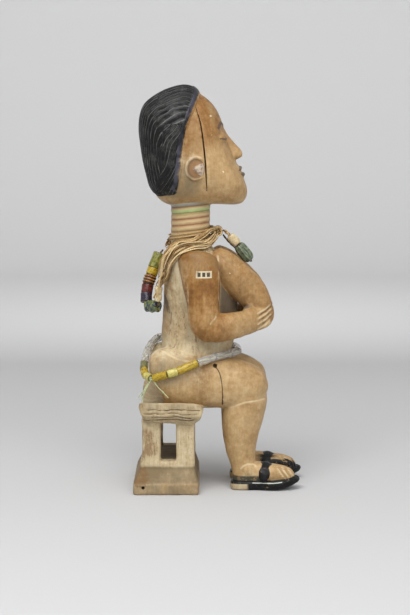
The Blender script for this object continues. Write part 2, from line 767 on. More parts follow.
def bead_swell(kind, turn, along):
    """Change of the outer radius in mm: ribs on the green bead, rings on the orange one, slight waves on all.

    Turn is the angle round the bead, and along runs from -1 to 1."""
    wave = 0.10 * np.sin(2 * turn + 3 * along) + 0.08 * np.sin(3 * turn - 2 * along)
    if kind == "green":
        ribs = np.abs(np.cos(BEAD_RIBS / 2 * turn)) ** 0.7 - 0.8
        return wave + 0.75 * ribs - 0.5 * along**2 - 1.8 * along**6
    if kind == "orange":
        return wave + 0.35 * np.cos(3.5 * math.pi * along)
    if kind == "mixed":
        return wave + 0.4 * np.sin(3 * turn + 6 * along) - 0.8 * along**4
    if kind == "cream":
        return wave - 1.0 * along**4
    return wave


def bead(name, kind, radius, start, end):
    """Bead turned round the straight run from start to end, with a UV map of turn and place along it.

    A point is middle + height * axis + radial * (side * cos + up * sin)."""
    length = float(np.linalg.norm(end - start))
    size, height = bead_profile(radius, length, round_end=min(MOST_ROUNDING, length / 5))
    turn = circle(BEAD_SIDES)[None]
    along = (2 * height / length)[:, None]
    phase = (abs(start[0]) * 7 + abs(start[1])) % 6.28
    outer = (size > BEAD_HOLE + 0.01)[:, None]
    radial = size[:, None] + outer * bead_swell(kind, turn + phase, along) * (radius / SWELL_RADIUS)
    axis = unit(end - start)
    side = unit(np.cross(axis, OFF_AXIS))
    up = np.cross(axis, side)
    grid = ((start + end) / 2 + height[:, None, None] * axis + (radial * np.cos(turn))[..., None] * side
            + (radial * np.sin(turn))[..., None] * up)

    rows, columns = grid.shape[:2]
    row, column = np.meshgrid(np.arange(rows), np.arange(columns), indexing="ij")
    corners = [(row, column), (row, column + 1), (row + 1, column + 1), (row + 1, column)]
    quads = np.stack([(r % rows) * columns + c % columns for r, c in corners], axis=-1).reshape(-1, 4)
    places = np.stack([np.stack([c / columns, along[r % rows, 0] / 2 + 0.5], axis=-1) for r, c in corners],
                      axis=2)
    points = grid.reshape(-1, 3)
    turned = outward(points, [quads])[0]
    if turned[0, 0] != quads[0, 0]:
        places = places[:, :, ::-1]
    made = mesh_object(name, points, [turned])
    made.data.uv_layers.new(name="bead").data.foreach_set("uv", places.ravel())
    made.data.materials.append(bead_finish(kind))
    return made


print("rings round a bead:", len(bead_profile(WAIST_BEAD_RADIUS, 15, MOST_ROUNDING)[0]))


# %% Beads on their runs
BEAD_GAP = 0.1
BEND_SHARE = 0.45
MOST_OVERHANG = 2.4


def strung_beads(name, route, kinds, overhang=0.4):
    """Beads of one string, each straight on its run of the route.

    At a bend a bead reaches a little further. Over bare string it does too, by the share overhang of the
    next run and by no more than MOST_OVERHANG."""
    points = np.asarray(route, float)
    run_way = unit(np.diff(points, axis=0))

    def inset(run, neighbour):
        """How far a bead's end stands back from the bend, below zero where it reaches over."""
        if not kinds[neighbour]:
            next_run = float(np.linalg.norm(points[neighbour + 1] - points[neighbour]))
            return -min(MOST_OVERHANG, overhang * next_run)
        bend = math.acos(np.clip(run_way[run] @ run_way[neighbour], -1, 1))
        return BEAD_GAP / 2 - BEND_SHARE * kinds[run][1] * math.tan(bend / 2)

    made = []
    for run in [k for k, kind in enumerate(kinds) if kind]:
        start = points[run] + run_way[run] * inset(run, run - 1)
        end = points[run + 1] - run_way[run] * inset(run, run + 1)
        node = f"{name}_{len(made) + 1:02d}"
        made.append(stand_for(bead(f"turned_{node}", *kinds[run], start, end), node))
    return made


necklace_beads = strung_beads("necklace_bead", NECKLACE_ROUTE, NECKLACE_BEADS, overhang=0.7)
pendant_beads = strung_beads("pendant_bead", PENDANT_ROUTE, PENDANT_BEADS)
waist_beads = strung_beads("waist_bead", WAIST_ROUTE, WAIST_BEADS)
print("beads:", *map(len, (necklace_beads, pendant_beads, waist_beads)))


# %% [markdown]
# ## Hanging the strings
#
# The two free strings are declared as cords, with the beads that sit on them. Their lengths are measured
# along the hand-picked routes, which are the same as on the frame. The waist string is held by the hips all
# the way round.

# %% Free strings
def free_string(name, node, route, beads):
    """A cord through its route, declared with its own length and the beads that sit on it."""
    path, body = string_body(route, STRING_RADIUS)
    made = mesh_object(name, *body)
    made.data.materials.append(brown_string)
    stand_for(made, node)
    path_length(path) * MM
    print(name, round(path_length(path), 1), "mm long,", len(beads), "beads")


free_string("back_loop_string", "necklace_string", NECKLACE_ROUTE, necklace_beads)
free_string("throat_loop_string", "pendant_string", PENDANT_ROUTE, pendant_beads)


# %% Waist string, its knot and loose threads
KNOT_TURNS = 3
KNOT_PLY = 0.75
LOOSE_ENDS = [[(-46, 67, 111.5), (-44, 72.5, 102), (-41, 77.5, 91)],
              [(-46.5, 65, 111.5), (-52, 58.5, 104), (-52.5, 52, 98)]]
THREADS_APART = (-1.9, -0.8, 0.5, 1.8)


def waist_knot():
    """A small coil of three turns round the point where the string's two ends meet."""
    turn = np.linspace(0, KNOT_TURNS * 2 * math.pi, 90)
    coil = np.stack([1.5 * np.cos(turn), 1.7 * np.sin(turn), 1.3 * np.sin(turn / 3 + 0.6)], axis=1)
    path = np.array(WAIST_ROUTE[0], float) + coil
    return tube_body(path, string_section(path, KNOT_PLY, sides=8))


def loose_thread(ends, apart):
    """One thread of a loose end, further from the others lower down and with a little curl."""
    spread = np.outer((0, math.cos(3 * apart), 2 * apart), (0.4, 0.6, 0.7))
    path = even_path(np.array(ends, float) + spread, 1.0)
    return tube_body(path, string_section(path, THREAD_RADIUS, sides=6, pitch=3))


waist_parts = [string_body(WAIST_ROUTE, WAIST_STRING_RADIUS)[1], waist_knot()]
waist_parts += [loose_thread(ends, apart) for ends in LOOSE_ENDS for apart in THREADS_APART]
waist = mesh_object("waist_string_with_knot", *merged(waist_parts))
waist.data.materials.append(pale_thread)
stand_for(waist, "waist_string")
print("parts of the waist string:", len(waist_parts))


# %% [markdown]
# ## The stool
#
# The stool is part of the same block: a stepped base, four square legs and a seat whose two ends curl up.
# Its edges were cut with a knife and have worn round, so every box gets rounded corners. The seat is one
# side outline carried from her right to her left and cut off above by the curl and below by a flat
# underside.

# %% Stool: base and legs
STOOL_HALF_WIDTH = 60
STOOL_FRONT, STOOL_BACK = 19.9, 84.3
BASE_TOP_FRONT, BASE_TOP_BACK = 24.3, 77.5
BASE_TOP_HALF_WIDTH = 50
BASE_BAND = 11.5
BASE_SLOPE_TOP = 23.5
BASE_TOP = 31.5
LEG_HALF_WIDTH = 11
LEG_HALF_DEPTH = 9
BACK_LEG_INSET = 2
SEAT_UNDER = 68


def stool_base():
    """Three levels of the base: an upright band, a slope and a smaller step that carries the legs."""
    wide, top = STOOL_HALF_WIDTH, BASE_TOP_HALF_WIDTH
    return box_tower([
        (0, wide - 0.8, STOOL_FRONT + 0.8, STOOL_BACK - 0.8), (1, wide, STOOL_FRONT, STOOL_BACK),
        (BASE_BAND - 1, wide, STOOL_FRONT, STOOL_BACK),
        (BASE_BAND, wide - 0.8, STOOL_FRONT + 0.6, STOOL_BACK - 0.6),
        (BASE_SLOPE_TOP, top + 0.3, BASE_TOP_FRONT - 0.2, BASE_TOP_BACK + 0.2),
        (BASE_TOP - 1, top, BASE_TOP_FRONT, BASE_TOP_BACK),
        (BASE_TOP, top - 0.8, BASE_TOP_FRONT + 0.8, BASE_TOP_BACK - 0.8),
    ], corner=3)


def stool_legs():
    """Four square legs from the base into the seat, a little thicker where they meet each."""
    heights = (BASE_TOP - 4, BASE_TOP, BASE_TOP + 3, SEAT_UNDER - 4, SEAT_UNDER + 1, SEAT_UNDER + 5)
    flare = (0.4, 0.4, 0, 0, 0.5, 0.8)
    made = []
    for y in (BASE_TOP_FRONT + LEG_HALF_DEPTH, BASE_TOP_BACK - BACK_LEG_INSET - LEG_HALF_DEPTH):
        points, faces = box_tower([
            (z, LEG_HALF_WIDTH + more, y - LEG_HALF_DEPTH - more, y + LEG_HALF_DEPTH + more)
            for z, more in zip(heights, flare)], corner=1.8)
        for side in (-1, 1):
            made.append((points + (side * (BASE_TOP_HALF_WIDTH - LEG_HALF_WIDTH), 0, 0), faces))
    return made


print("base:", 2 * STOOL_HALF_WIDTH, "by", round(STOOL_BACK - STOOL_FRONT, 1), "mm")


# %% Stool: seat
SEAT_MIDDLE = 82
SEAT_END_RIGHT = 92
SEAT_END_LEFT = 96.5
SEAT_SIDE = [(26, 68), (71, 72), (76, 78), (78.5, 86), (77, 97.5), (16, 89), (15.6, 83), (19, 74)]
UNDERSIDE_RISES_FROM = 53
UNDERSIDE_RISE = 11 / 7


def seat_curl(x):
    """Height of the seat's top: the middle's plus the end's rise times the fourth power of the way out."""
    end = np.where(x < 0, SEAT_END_RIGHT, SEAT_END_LEFT)
    return SEAT_MIDDLE + (end - SEAT_MIDDLE) * (x / STOOL_HALF_WIDTH) ** 4


def seat(columns=160, stations=81):
    """Seat: the side outline at every x, held between the underside and the curling top."""
    corners = np.array(SEAT_SIDE + SEAT_SIDE[:1], float)
    reach = way_along(corners)
    steps = np.linspace(0, reach[-1], columns, endpoint=False)
    y = np.interp(steps, reach, corners[:, 0])
    z = np.interp(steps, reach, corners[:, 1])
    x = STOOL_HALF_WIDTH * np.concatenate([[-1, -1], np.linspace(-1, 1, stations), [1, 1]])[:, None]
    size = np.concatenate([[0, 0.96], np.ones(stations), [0.96, 0]])[:, None]
    low = SEAT_UNDER - 1 + np.maximum(0, np.abs(x) - UNDERSIDE_RISES_FROM) * UNDERSIDE_RISE
    ring_z = np.clip(z, low, np.maximum(seat_curl(x), low + 1))
    grid_y = y.mean() + (y - y.mean()) * size
    grid_z = ring_z.mean(axis=1, keepdims=True) * (1 - size) + ring_z * size
    return closed_body(np.stack([np.broadcast_to(x, grid_y.shape), grid_y, grid_z], axis=-1))


print("seat's top at its middle and its ends:", [float(seat_curl(x)) for x in (0, -60, 60)])


# %% [markdown]
# ## The woman's body
#
# She is symmetrical but for her left foot, set a little further forward. The torso is a flattened column
# with a hollow back; thighs and hips are heavy, the arms come forward and each hand lifts a long breast.
# The neck is a stack of carved rings, a sign of well-being, tilted so that they rise to the front.

# %% Torso, hips and neck
NECK_RADIUS = 19.4
NECK_AXIS = 28.4
NECK_FOOT = 238
NECK_TOP = 286
NECK_RINGS = 8
RING_DEPTH = 1.5
RING_RISE = math.tan(math.radians(6))


def torso():
    """Loft of flattened ovals from the hips up to the foot of the neck."""
    return loft([
        (0, 21, 126, 39, 35), (0, 21.8, 140, 36, 35.3), (0, 20.6, 155, 35, 36.6), (0, 18.5, 173, 35.5, 37.5),
        (0, 19.5, 186, 37, 36.5), (0, 22.5, 200, 39.5, 33.5), (0, 25.5, 215, 43, 29.5),
        (0, 27.5, 229, 46, 25.5), (0, 28.5, 238, 38, 21.5), (0, 28.5, 246, 23, 18.5),
    ], rows=70, sides=90, domes=(0.05, 0.05), squareness=2.3)


def hips():
    """Level loft across the body, thickest in the middle."""
    return loft([
        (-43, 36, 112, 20, 22), (-22, 37, 113, 28, 28), (0, 36, 112, 28, 28), (22, 37, 113, 28, 28),
        (43, 36, 112, 20, 22),
    ], rows=40, sides=60, domes=(0.12, 0.12), side=(0, 1, 0))


def ring_wave(height):
    """0 in the grooves between the rings of the neck and 1 on their crests: the size of a sine."""
    return np.abs(np.sin(math.pi * (height - NECK_FOOT) / (NECK_TOP - NECK_FOOT) * NECK_RINGS))


def neck(rows=120, sides=64):
    """Rings of the neck: the radius follows the root of a wave, and the stack leans up to the front."""
    height = np.linspace(NECK_FOOT - 2, NECK_TOP, rows)
    radius = NECK_RADIUS + 0.3 - RING_DEPTH * (1 - np.sqrt(ring_wave(height)))
    radius[0] = radius[-1] = 0
    turn = circle(sides)
    x = radius[:, None] * np.cos(turn)
    y = radius[:, None] * np.sin(turn)
    return closed_body(np.stack([x, NECK_AXIS + y, height[:, None] - RING_RISE * y], axis=-1))


print("rings of the neck, one every", (NECK_TOP - NECK_FOOT) / NECK_RINGS, "mm")


# %% Arms and breasts
FINGER_LOFT = {"rows": 20, "sides": 20, "domes": (0.1, 0.15), "side": (0, 0, 1)}
FINGER_HEIGHTS = 160.5 + 5.2 * np.arange(4)


def upper_arm_stations(side):
    """Ovals from the shoulder down to the elbow."""
    return [(side * 40, 21, 238, 10, 15), (side * 43, 21, 229, 12.5, 18.5), (side * 46, 18.4, 214, 12.5, 19),
            (side * 47, 16.7, 199, 12, 17.6), (side * 48, 15.8, 184, 11.5, 15.6),
            (side * 48, 14, 168, 11.5, 15.4), (side * 47, 10, 149, 8, 10)]


def forearm_stations(side):
    """Ovals from the elbow forward and inward to the wrist."""
    return [(side * 47, 18, 162, 9, 10), (side * 47, 4, 163, 11, 14), (side * 43, -12, 164.5, 10, 13.2),
            (side * 36, -24, 166.5, 8.6, 12.2), (side * 29, -34, 169, 7, 11.8), (side * 23, -42, 171, 5, 10.5)]


def breast_stations(side):
    """Ovals from the chest forward and down, thinning towards the nipple."""
    return [(side * 19, 12, 227, 14, 15), (side * 20, -3, 221, 15, 16.5), (side * 20, -16, 210, 14.5, 16.8),
            (side * 18.5, -29, 197, 13.5, 16.2), (side * 15.5, -40, 184, 11.5, 12.8),
            (side * 12, -47, 172, 8.5, 8.5), (side * 10, -50, 163, 5, 5)]


def arm(side):
    """Upper arm, forearm, four fingers and a thumb."""
    upper = loft(upper_arm_stations(side), rows=50, sides=48, domes=(0.14, 0.14))
    fore = loft(forearm_stations(side), rows=44, sides=48, domes=(0.12, 0.12))
    fingers = [loft([
        (side * 29, -36, z, 3, 3.0), (side * 22.5, -45, z + 2.5, 2.9, 3.0), (side * 13, -51, z + 5.5, 2.5, 2.7),
    ], **FINGER_LOFT) for z in FINGER_HEIGHTS]
    thumb = loft([
        (side * 32, -24, 178, 3.4, 3.4), (side * 25, -33, 183, 3.2, 3.2), (side * 16, -42, 187, 2.8, 2.8),
    ], **FINGER_LOFT)
    return [upper, fore, *fingers, thumb]


def breast(side):
    """A loft through the breast's ovals."""
    return [loft(breast_stations(side), rows=50, sides=48, domes=(0.1, 0.16))]


print("fingers start at heights of", FINGER_HEIGHTS.round(1), "mm")


# %% Legs, feet and sandals
LEG_SPREAD = 27
LEFT_REACH = 4
SOLE_LOFT = {"domes": (0.06, 0.05), "squareness": 6}
STRAP_LOFT = {"domes": (0.05, 0.05), "side": (0, 1, 0.2)}


def foot_place(side):
    """X of a leg's middle, and how much further forward its foot stands."""
    return side * LEG_SPREAD, LEFT_REACH if side > 0 else 0


def sole_stations(side):
    """Flat ovals from the heel forward, rising to a turned-up tip."""
    x, reach = foot_place(side)
    return [(x, -11, 4.3, 8, 4.3), (x, -20, 4.3, 11.5, 4.3), (x, -36, 4.3, 11.5, 4.3),
            (x, -54 - reach, 4.8, 15, 4.2), (x, -68 - reach, 7.2, 13.5, 3.8), (x, -80.3 - reach, 11, 4.5, 2.6)]


def strap_stations(side):
    """Flat ovals in an arch from one side of the sole over the instep to the other."""
    x, reach = foot_place(side)
    return [(x - 13.5, -43 - reach, 9, 4.4, 1.5), (x - 11.5, -45 - reach, 19, 4.4, 1.5),
            (x, -47 - reach, 25.6, 4.4, 1.5), (x + 11.5, -45 - reach, 19, 4.4, 1.5),
            (x + 13.5, -43 - reach, 9, 4.4, 1.5)]


def leg(side):
    """Thigh with buttock, calf, foot, sandal sole, ankle bone and the strap over the instep."""
    x, reach = foot_place(side)
    thigh = loft([
        (side * 24, 67, 109, 15, 20), (side * 25.5, 55, 112.5, 20, 28), (x, 38, 111, 22, 29),
        (x, 20, 107.5, 22, 26), (x, 0, 106.5, 21.5, 25), (x, -18, 105.5, 20.5, 24), (x, -34, 103, 19, 19),
        (x, -48, 99, 14, 12),
    ], rows=60, sides=64, domes=(0.13, 0.12), squareness=2.3)
    calf = loft([
        (x, -26, 108, 15, 16), (x, -27, 93, 18.5, 20.5), (x, -24.2, 79, 18, 21), (x, -22.3, 67, 17.2, 20),
        (x, -21.4, 55, 15.8, 17.8), (x, -21.4, 43, 13.6, 15.6), (x, -23, 31, 11.8, 13.4),
        (x, -25, 19, 11.2, 12.2), (x, -26, 6, 11, 12),
    ], rows=60, sides=48, domes=(0.08, 0.04))
    foot = loft([
        (x, -20, 13, 11, 8), (x, -34, 16, 11.5, 11), (x, -50 - reach, 16, 12.5, 9),
        (x, -64 - reach, 15, 12, 7.5), (x, -75 - reach, 12, 9, 4.5),
    ], rows=40, sides=40, domes=(0.1, 0.14), squareness=2.4)
    sole = loft(sole_stations(side), rows=50, sides=64, **SOLE_LOFT)
    ankle = loft([(side * 36.5, -29, 14, 3.4, 6.5), (side * 36.5, -29, 26, 3.4, 6.5)],
                 rows=12, sides=24, domes=(0.4, 0.4))
    strap = loft(strap_stations(side), rows=40, sides=20, **STRAP_LOFT)
    return [thigh, calf, foot, sole, ankle, strap]


print("tips of the sandals at y =", [sole_stations(side)[-1][1] for side in (-1, 1)])


# %% [markdown]
# ## Head, hair and face
#
# The head is flat and leans back, as carvers of the region like it: a high brow, a pointed crown and a
# small face low down. The hair is a raised cap combed back in locks. The face is a general one on even
# thirds, with calm closed lids. Both masses are one side outline drawn in towards each cheek.

# %% Head and hair
HEAD_HALF_WIDTH = 38.5
HAIR_HALF_WIDTH = 41
CHIN = (-27, 288)
FACE_HEIGHT = 114
FACE_LEAN = math.radians(24)
HAIR_OUTLINE = [
    (52, 289.5, 4), (62.6, 291.4, 4), (68.5, 298, 3.4), (72.5, 311.2, 3), (75.8, 325, 2.7), (78.2, 341, 2.6),
    (79.7, 356, 2.5), (78.6, 369, 2.4), (74.2, 380.1, 2.3), (63, 389.5, 2.2), (49, 396.3, 2.2),
    (33.7, 399.3, 2.2), (24.5, 396.8, 2.2), (19.6, 391, 2.2), (20.5, 381, 2.4), (24.5, 371, 3),
    (26.6, 358, 3), (28.4, 343, 3), (31.5, 316, 3), (35.2, 300, 3.5), (41, 289, 4),
]


def face_point(up, forward):
    """(y, z) of a point of the leaning face plane: up from the chin and forward of the plane."""
    return (CHIN[0] + up * math.sin(FACE_LEAN) - forward * math.cos(FACE_LEAN),
            CHIN[1] + up * math.cos(FACE_LEAN) + forward * math.sin(FACE_LEAN))


FACE_SHARES = [(0.85, 7, 2.2), (0.67, 8, 2.2), (0.54, 5, 2.2), (0.35, 5, 2.1), (0.19, 5.5, 2.1),
               (0.04, 3, 2.1)]
FACE_FRONT = [(*face_point(FACE_HEIGHT * share, forward), power) for share, forward, power in FACE_SHARES]
HEAD_OUTLINE = [
    (6, 281.5, 2.6), (26, 280, 2.8), (47, 280.6, 2.8), (56, 284, 2.6), (62.5, 290.5, 2.6), (67, 303, 2.4),
    (70, 320, 2.4), (73, 340, 2.4), (73, 358, 2.3), (68, 375, 2.2), (55, 387, 2.2), (38, 393, 2.2),
    (22, 391.5, 2.2), *FACE_FRONT, (*face_point(-3, -6), 2.2),
]
HEAD = (HEAD_OUTLINE, (25, 330), HEAD_HALF_WIDTH)
HAIR = (HAIR_OUTLINE, (44, 348), HAIR_HALF_WIDTH)
print("head", 2 * HEAD_HALF_WIDTH, "mm wide, hair", 2 * HAIR_HALF_WIDTH, "mm")


# %% Ears
EAR_X = 37.6
EAR_RADII = (9.8, 11.2)
EAR_CENTRE = (22.6, 317.6)
EAR_TURNS = np.radians(50 + 52 * np.arange(6))


def lobe_stations(side):
    """Three ovals that grow broader towards the front."""
    return [(side * 37.4, 26, 317, 1.6, 1.2), (side * 37.6, 20, 316.8, 2.2, 4.6), (side * 37, 15, 316.4, 2, 7)]


def ear(side):
    """Open ring with a three-cornered lobe inside it."""
    ring = [(side * EAR_X, EAR_CENTRE[0] - EAR_RADII[0] * math.cos(turn),
             EAR_CENTRE[1] + EAR_RADII[1] * math.sin(turn), 2.3, 1.2) for turn in EAR_TURNS]
    rim = loft(ring, rows=40, sides=20, domes=(0.06, 0.06))
    lobe = loft(lobe_stations(side), rows=14, sides=24, domes=(0.2, 0.2))
    return [rim, lobe]


print("turn of the rim in degrees:", np.degrees(EAR_TURNS[-1] - EAR_TURNS[0]).round())


# %% Face
BROW_LINE, EYE_LINE, NOSE_LINE, MOUTH_LINE = FACE_HEIGHT * np.array([0.667, 0.56, 0.345, 0.225])
FACE_DEPTH = 33
FACE_POWER = 2.2
LEAN_ACROSS = (0, 0.447, 0.894)
LIPS = [(3.4, 2.3), (-3.2, 2.5)]


def face_fall(across):
    """How far the side of the face falls back from its middle line."""
    return FACE_DEPTH * (1 - (1 - (abs(across) / HEAD_HALF_WIDTH) ** FACE_POWER) ** (1 / FACE_POWER))


def face_station(across, up, forward, wide, high):
    """Oval at a point of the face plane, set back by the face's fall at its distance from the middle."""
    return (across, *face_point(up, forward - face_fall(across)), wide, high)


def face_across(side):
    """Direction across a strip of the face that runs outwards from its middle."""
    return (0, -side * LEAN_ACROSS[1], -side * LEAN_ACROSS[2])


def nose():
    """Ridge from the brow down to the tip, broader and higher on the way."""
    return loft([
        face_station(0, BROW_LINE - 3, 5, 3, 3), face_station(0, EYE_LINE, 4, 3.4, 4.5),
        face_station(0, NOSE_LINE + 12, 5.5, 5, 6.4), face_station(0, NOSE_LINE + 4, 6.5, 7.6, 8),
        face_station(0, NOSE_LINE - 1, 6, 6, 6),
    ], rows=30, sides=36, domes=(0.1, 0.12), squareness=1.7)


def lip_stations(rise, half):
    """A lip that rises above or sinks below the mouth line and thins towards both corners."""
    shares = ((-12.5, 0.35), (-7.5, 0.8), (0, 1.1), (7.5, 0.8), (12.5, 0.35))
    return [face_station(across, MOUTH_LINE + rise * (0.4 + 0.6 * share), 4.5, half * share, 4)
            for across, share in shares]


def lips():
    """Upper and lower lip, each a loft across the face."""
    return [loft(lip_stations(*lip), rows=24, sides=24, domes=(0.2, 0.2), side=LEAN_ACROSS) for lip in LIPS]


def eye_stations(side):
    """Three ovals outwards along the eye line."""
    return [face_station(side * across, EYE_LINE, 5, 5, 3) for across in (7.5, 15.5, 23.5)]


def lid_line(side):
    """Thin curved line where the two lids meet."""
    arch = [(6, 0.5), (10.5, -1.8), (15.5, -2.6), (20.5, -2), (25, 0.5)]
    return [face_station(side * across, EYE_LINE + rise, 7, 0.5, 3) for across, rise in arch]


def brow_stations(side):
    """Three ovals in a low arch above the eye."""
    arch = [(4.5, -2), (13, 1.5), (24, -2.5)]
    return [face_station(side * across, BROW_LINE + rise, 6, 2, 3) for across, rise in arch]


def lids_and_brow(side):
    """The swell of one closed eye and the ridge above it."""
    eye = loft(eye_stations(side), rows=20, sides=30, domes=(0.4, 0.4), side=face_across(side))
    brow = loft(brow_stations(side), rows=20, sides=16, domes=(0.15, 0.15), side=face_across(side))
    return [eye, brow]


print("fall of the face at the corner of an eye:", round(face_fall(25), 1), "mm")


# %% [markdown]
# ## One block of wood
#
# All bodies are one carving, so they're fused: a voxel remesh keeps only the outer skin, as an even net of
# small squares. A few rounds of smoothing take away the voxel steps and soften the joins, as a knife and
# long handling do. The fine carving is then pushed into that skin.

# %% Helpers for one mesh
def with_modifier(source, kind, **settings):
    """Runs one modifier on an object and bakes the result into its mesh."""
    modifier = source.modifiers.new(kind.lower(), kind)
    for key, value in settings.items():
        setattr(modifier, key, value)
    graph = bpy.context.evaluated_depsgraph_get()
    baked = bpy.data.meshes.new_from_object(source.evaluated_get(graph))
    source.modifiers.clear()
    old = source.data
    source.data = baked
    bpy.data.meshes.remove(old)


def read(mesh, items, key, width=1, kind=float):
    """One property of a mesh's items as an array."""
    collection = getattr(mesh, items)
    values = np.empty(len(collection) * width, kind)
    collection.foreach_get(key, values)
    return values.reshape(-1, width) if width > 1 else values


def point_normals(mesh):
    """Directions out of the surface at a mesh's points."""
    return read(mesh, "vertex_normals", "vector", 3)


def triangle_count(mesh):
    """Sum over all faces of their corners less two."""
    return int((read(mesh, "polygons", "loop_total", kind=np.int32) - 2).sum())


print("triangles of the floor:", triangle_count(floor.data))


# %% Fuse the bodies
VOXEL = 0.85

bodies = [torso(), hips(), neck(), sagittal_body(*HEAD), sagittal_body(*HAIR), nose(), *lips()]
bodies += mirrored(arm) + mirrored(breast) + mirrored(leg) + mirrored(ear) + mirrored(lids_and_brow)
bodies += [stool_base(), *stool_legs(), seat()]
carving = mesh_object("carved_woman_on_stool", *merged(bodies))
with_modifier(carving, "REMESH", mode="VOXEL", voxel_size=VOXEL * MM, use_smooth_shade=True)
print(len(bodies), "bodies fused into", len(carving.data.vertices), "points")


# %% Smoothing and soft noise
def neighbours_mean(values, edges):
    """Mean of each point's neighbours, by adding up both ends of every edge."""
    count = np.bincount(edges.ravel(), minlength=len(values))
    total = [np.bincount(edges[:, 0], values[edges[:, 1], k], len(values))
             + np.bincount(edges[:, 1], values[edges[:, 0], k], len(values)) for k in range(values.shape[1])]
    return np.stack(total, axis=1) / np.maximum(count, 1)[:, None]


def smoothed(values, edges, rounds, weight=1.0):
    """Moves every point half-way to its neighbours' mean, times its weight, a number of rounds."""
    weight = np.broadcast_to(weight, len(values))[:, None] * 0.5
    for _ in range(rounds):
        values = values + weight * (neighbours_mean(values, edges) - values)
    return values


def ramp(value, start, end):
    """0 before start, 1 after end, and an even S-curve between them; start may be the larger one."""
    t = np.clip((value - start) / (end - start), 0, 1)
    return t * t * (3 - 2 * t)


def waves(points, scale, seed, count=14):
    """Soft noise between about -1 and 1: the mean of sine waves in random directions, scale mm long."""
    draw = np.random.default_rng(seed)
    direction = unit(draw.normal(size=(count, 3))) * 2 * math.pi / scale * draw.uniform(0.6, 1.5, (count, 1))
    phase = draw.uniform(0, 2 * math.pi, count)
    return np.sin(points @ direction.T + phase).sum(axis=1) / math.sqrt(count)


def grooves(phase, sharp):
    """1 where the phase is whole, 0 half-way between: one less the size of a sine, raised to a power."""
    return (1 - np.abs(np.sin(math.pi * phase))) ** sharp


def ball(points, centre, radius):
    """1 in the middle of a ball, falling softly to 0 at its radius."""
    return ramp(np.linalg.norm(points - np.asarray(centre, float), axis=1), radius, radius * 0.4)


print("a ramp from 0 to 4 at 0, 1, 2, 3 and 4:", ramp(np.arange(5), 0, 4).round(2))


# %% Distances to the parts
LOFT_REACH = 12.0
LINE_REACH = 6.0
THINNEST = 0.15


def loft_gap(points, stations, domes=(0.1, 0.1), side=(1, 0, 0), squareness=2.0):
    """About how far each point lies outside a loft, in mm: below zero inside, and LOFT_REACH far away.

    The nearest ring gives two shares of its half widths, and their superellipse sum says how far out it is.
    Only beyond the first and last rings does the distance along the loft count too."""
    stations = np.asarray(stations, float)
    gap = np.full(len(points), LOFT_REACH)
    margin = LOFT_REACH + stations[:, 3:5].max()
    low, high = stations[:, :3].min(0) - margin, stations[:, :3].max(0) + margin
    near = np.all((points > low) & (points < high), axis=1)
    spot = points[near]
    if not len(spot):
        return gap
    centre, across, up, half = loft_frame(stations, domed_places(40, domes), domes, side)
    half = np.maximum(half, THINNEST)
    ring = np.argmin(((spot[:, None] - centre[None]) ** 2).sum(axis=2), axis=1)
    offset = spot - centre[ring]
    share = np.stack([(offset * across[ring]).sum(1), (offset * up[ring]).sum(1)], axis=1) / half[ring]
    size = (np.abs(share) ** squareness).sum(axis=1) ** (1 / squareness)
    along = np.linalg.norm(offset - share[:, :1] * half[ring, :1] * across[ring]
                           - share[:, 1:] * half[ring, 1:] * up[ring], axis=1)
    flat = np.linalg.norm(share * half[ring], axis=1)
    outside = flat * (1 - 1 / np.maximum(size, 1e-3))
    beyond = (along > 1.5) & ((ring < 2) | (ring > len(centre) - 3))
    gap[near] = np.minimum(LOFT_REACH, np.where(beyond, np.hypot(np.maximum(outside, 0), along), outside))
    return gap


def outline_share(flat, outline, centre):
    """How far out (y, z) points lie as a share of a side outline, its roundness there, and their angle."""
    edge = smooth_line(outline, np.linspace(0, 1, 720, endpoint=False), closed=True, power=0.5)
    angle = np.arctan2(edge[:, 1] - centre[1], edge[:, 0] - centre[0])
    order = np.argsort(angle)
    radius = np.hypot(edge[:, 1] - centre[1], edge[:, 0] - centre[0])
    here = np.arctan2(flat[..., 1] - centre[1], flat[..., 0] - centre[0])
    out = np.interp(here, angle[order], radius[order], period=2 * math.pi)
    power = np.interp(here, angle[order], edge[order, 2], period=2 * math.pi)
    return np.hypot(flat[..., 0] - centre[0], flat[..., 1] - centre[1]) / out, power, here


def sagittal_gap(points, outline, centre, half_width):
    """About how far each point lies outside a sagittal body, in mm along the ray from its centre."""
    share, power, _ = outline_share(points[:, 1:], outline, centre)
    size = (share ** power + (np.abs(points[:, 0]) / half_width) ** power) ** (1 / power)
    reach = np.linalg.norm(points - (0, *centre), axis=1)
    return reach * (1 - 1 / np.maximum(size, 1e-3))


def side_reach(flat, outline, centre, half_width):
    """How far a sagittal body reaches sideways at (y, z) points."""
    share, power, _ = outline_share(flat, outline, centre)
    return half_width * np.maximum(0, 1 - share ** power) ** (1 / power)


def line_gap(flat, line):
    """Signed distance of points to an open line in a plane, plus on its left, and LINE_REACH far away."""
    line = np.asarray(line, float)
    best = np.full(len(flat), LINE_REACH)
    for start, end in zip(line[:-1], line[1:]):
        run = end - start
        offset = flat - start
        along = np.clip(offset @ run / (run @ run), 0, 1)
        away = offset - along[:, None] * run
        distance = np.hypot(away[:, 0], away[:, 1])
        sign = np.where(run[0] * offset[:, 1] - run[1] * offset[:, 0] >= 0, 1.0, -1.0)
        best = np.where(distance < np.abs(best), distance * sign, best)
    return best


print("hair at the ears stands at x =", side_reach(np.array([[50.0, 320.0]]), *HAIR).round(1))


# %% [markdown]
# ## Carving into the skin
#
# The locks of hair, the gouge marks of the stool, the grooves between toes and the creases are cuts of the
# knife. Each is a depth worked out for every point at once, and the point moves in along its normal by that
# depth.

# %% Hair locks
LOCKS = 15
LOCK_DEPTH = 1.6
BAND_WIDTH = 4.8
ARCH_CENTRE = (39, 302)
HAIRLINE_STEPS = 15


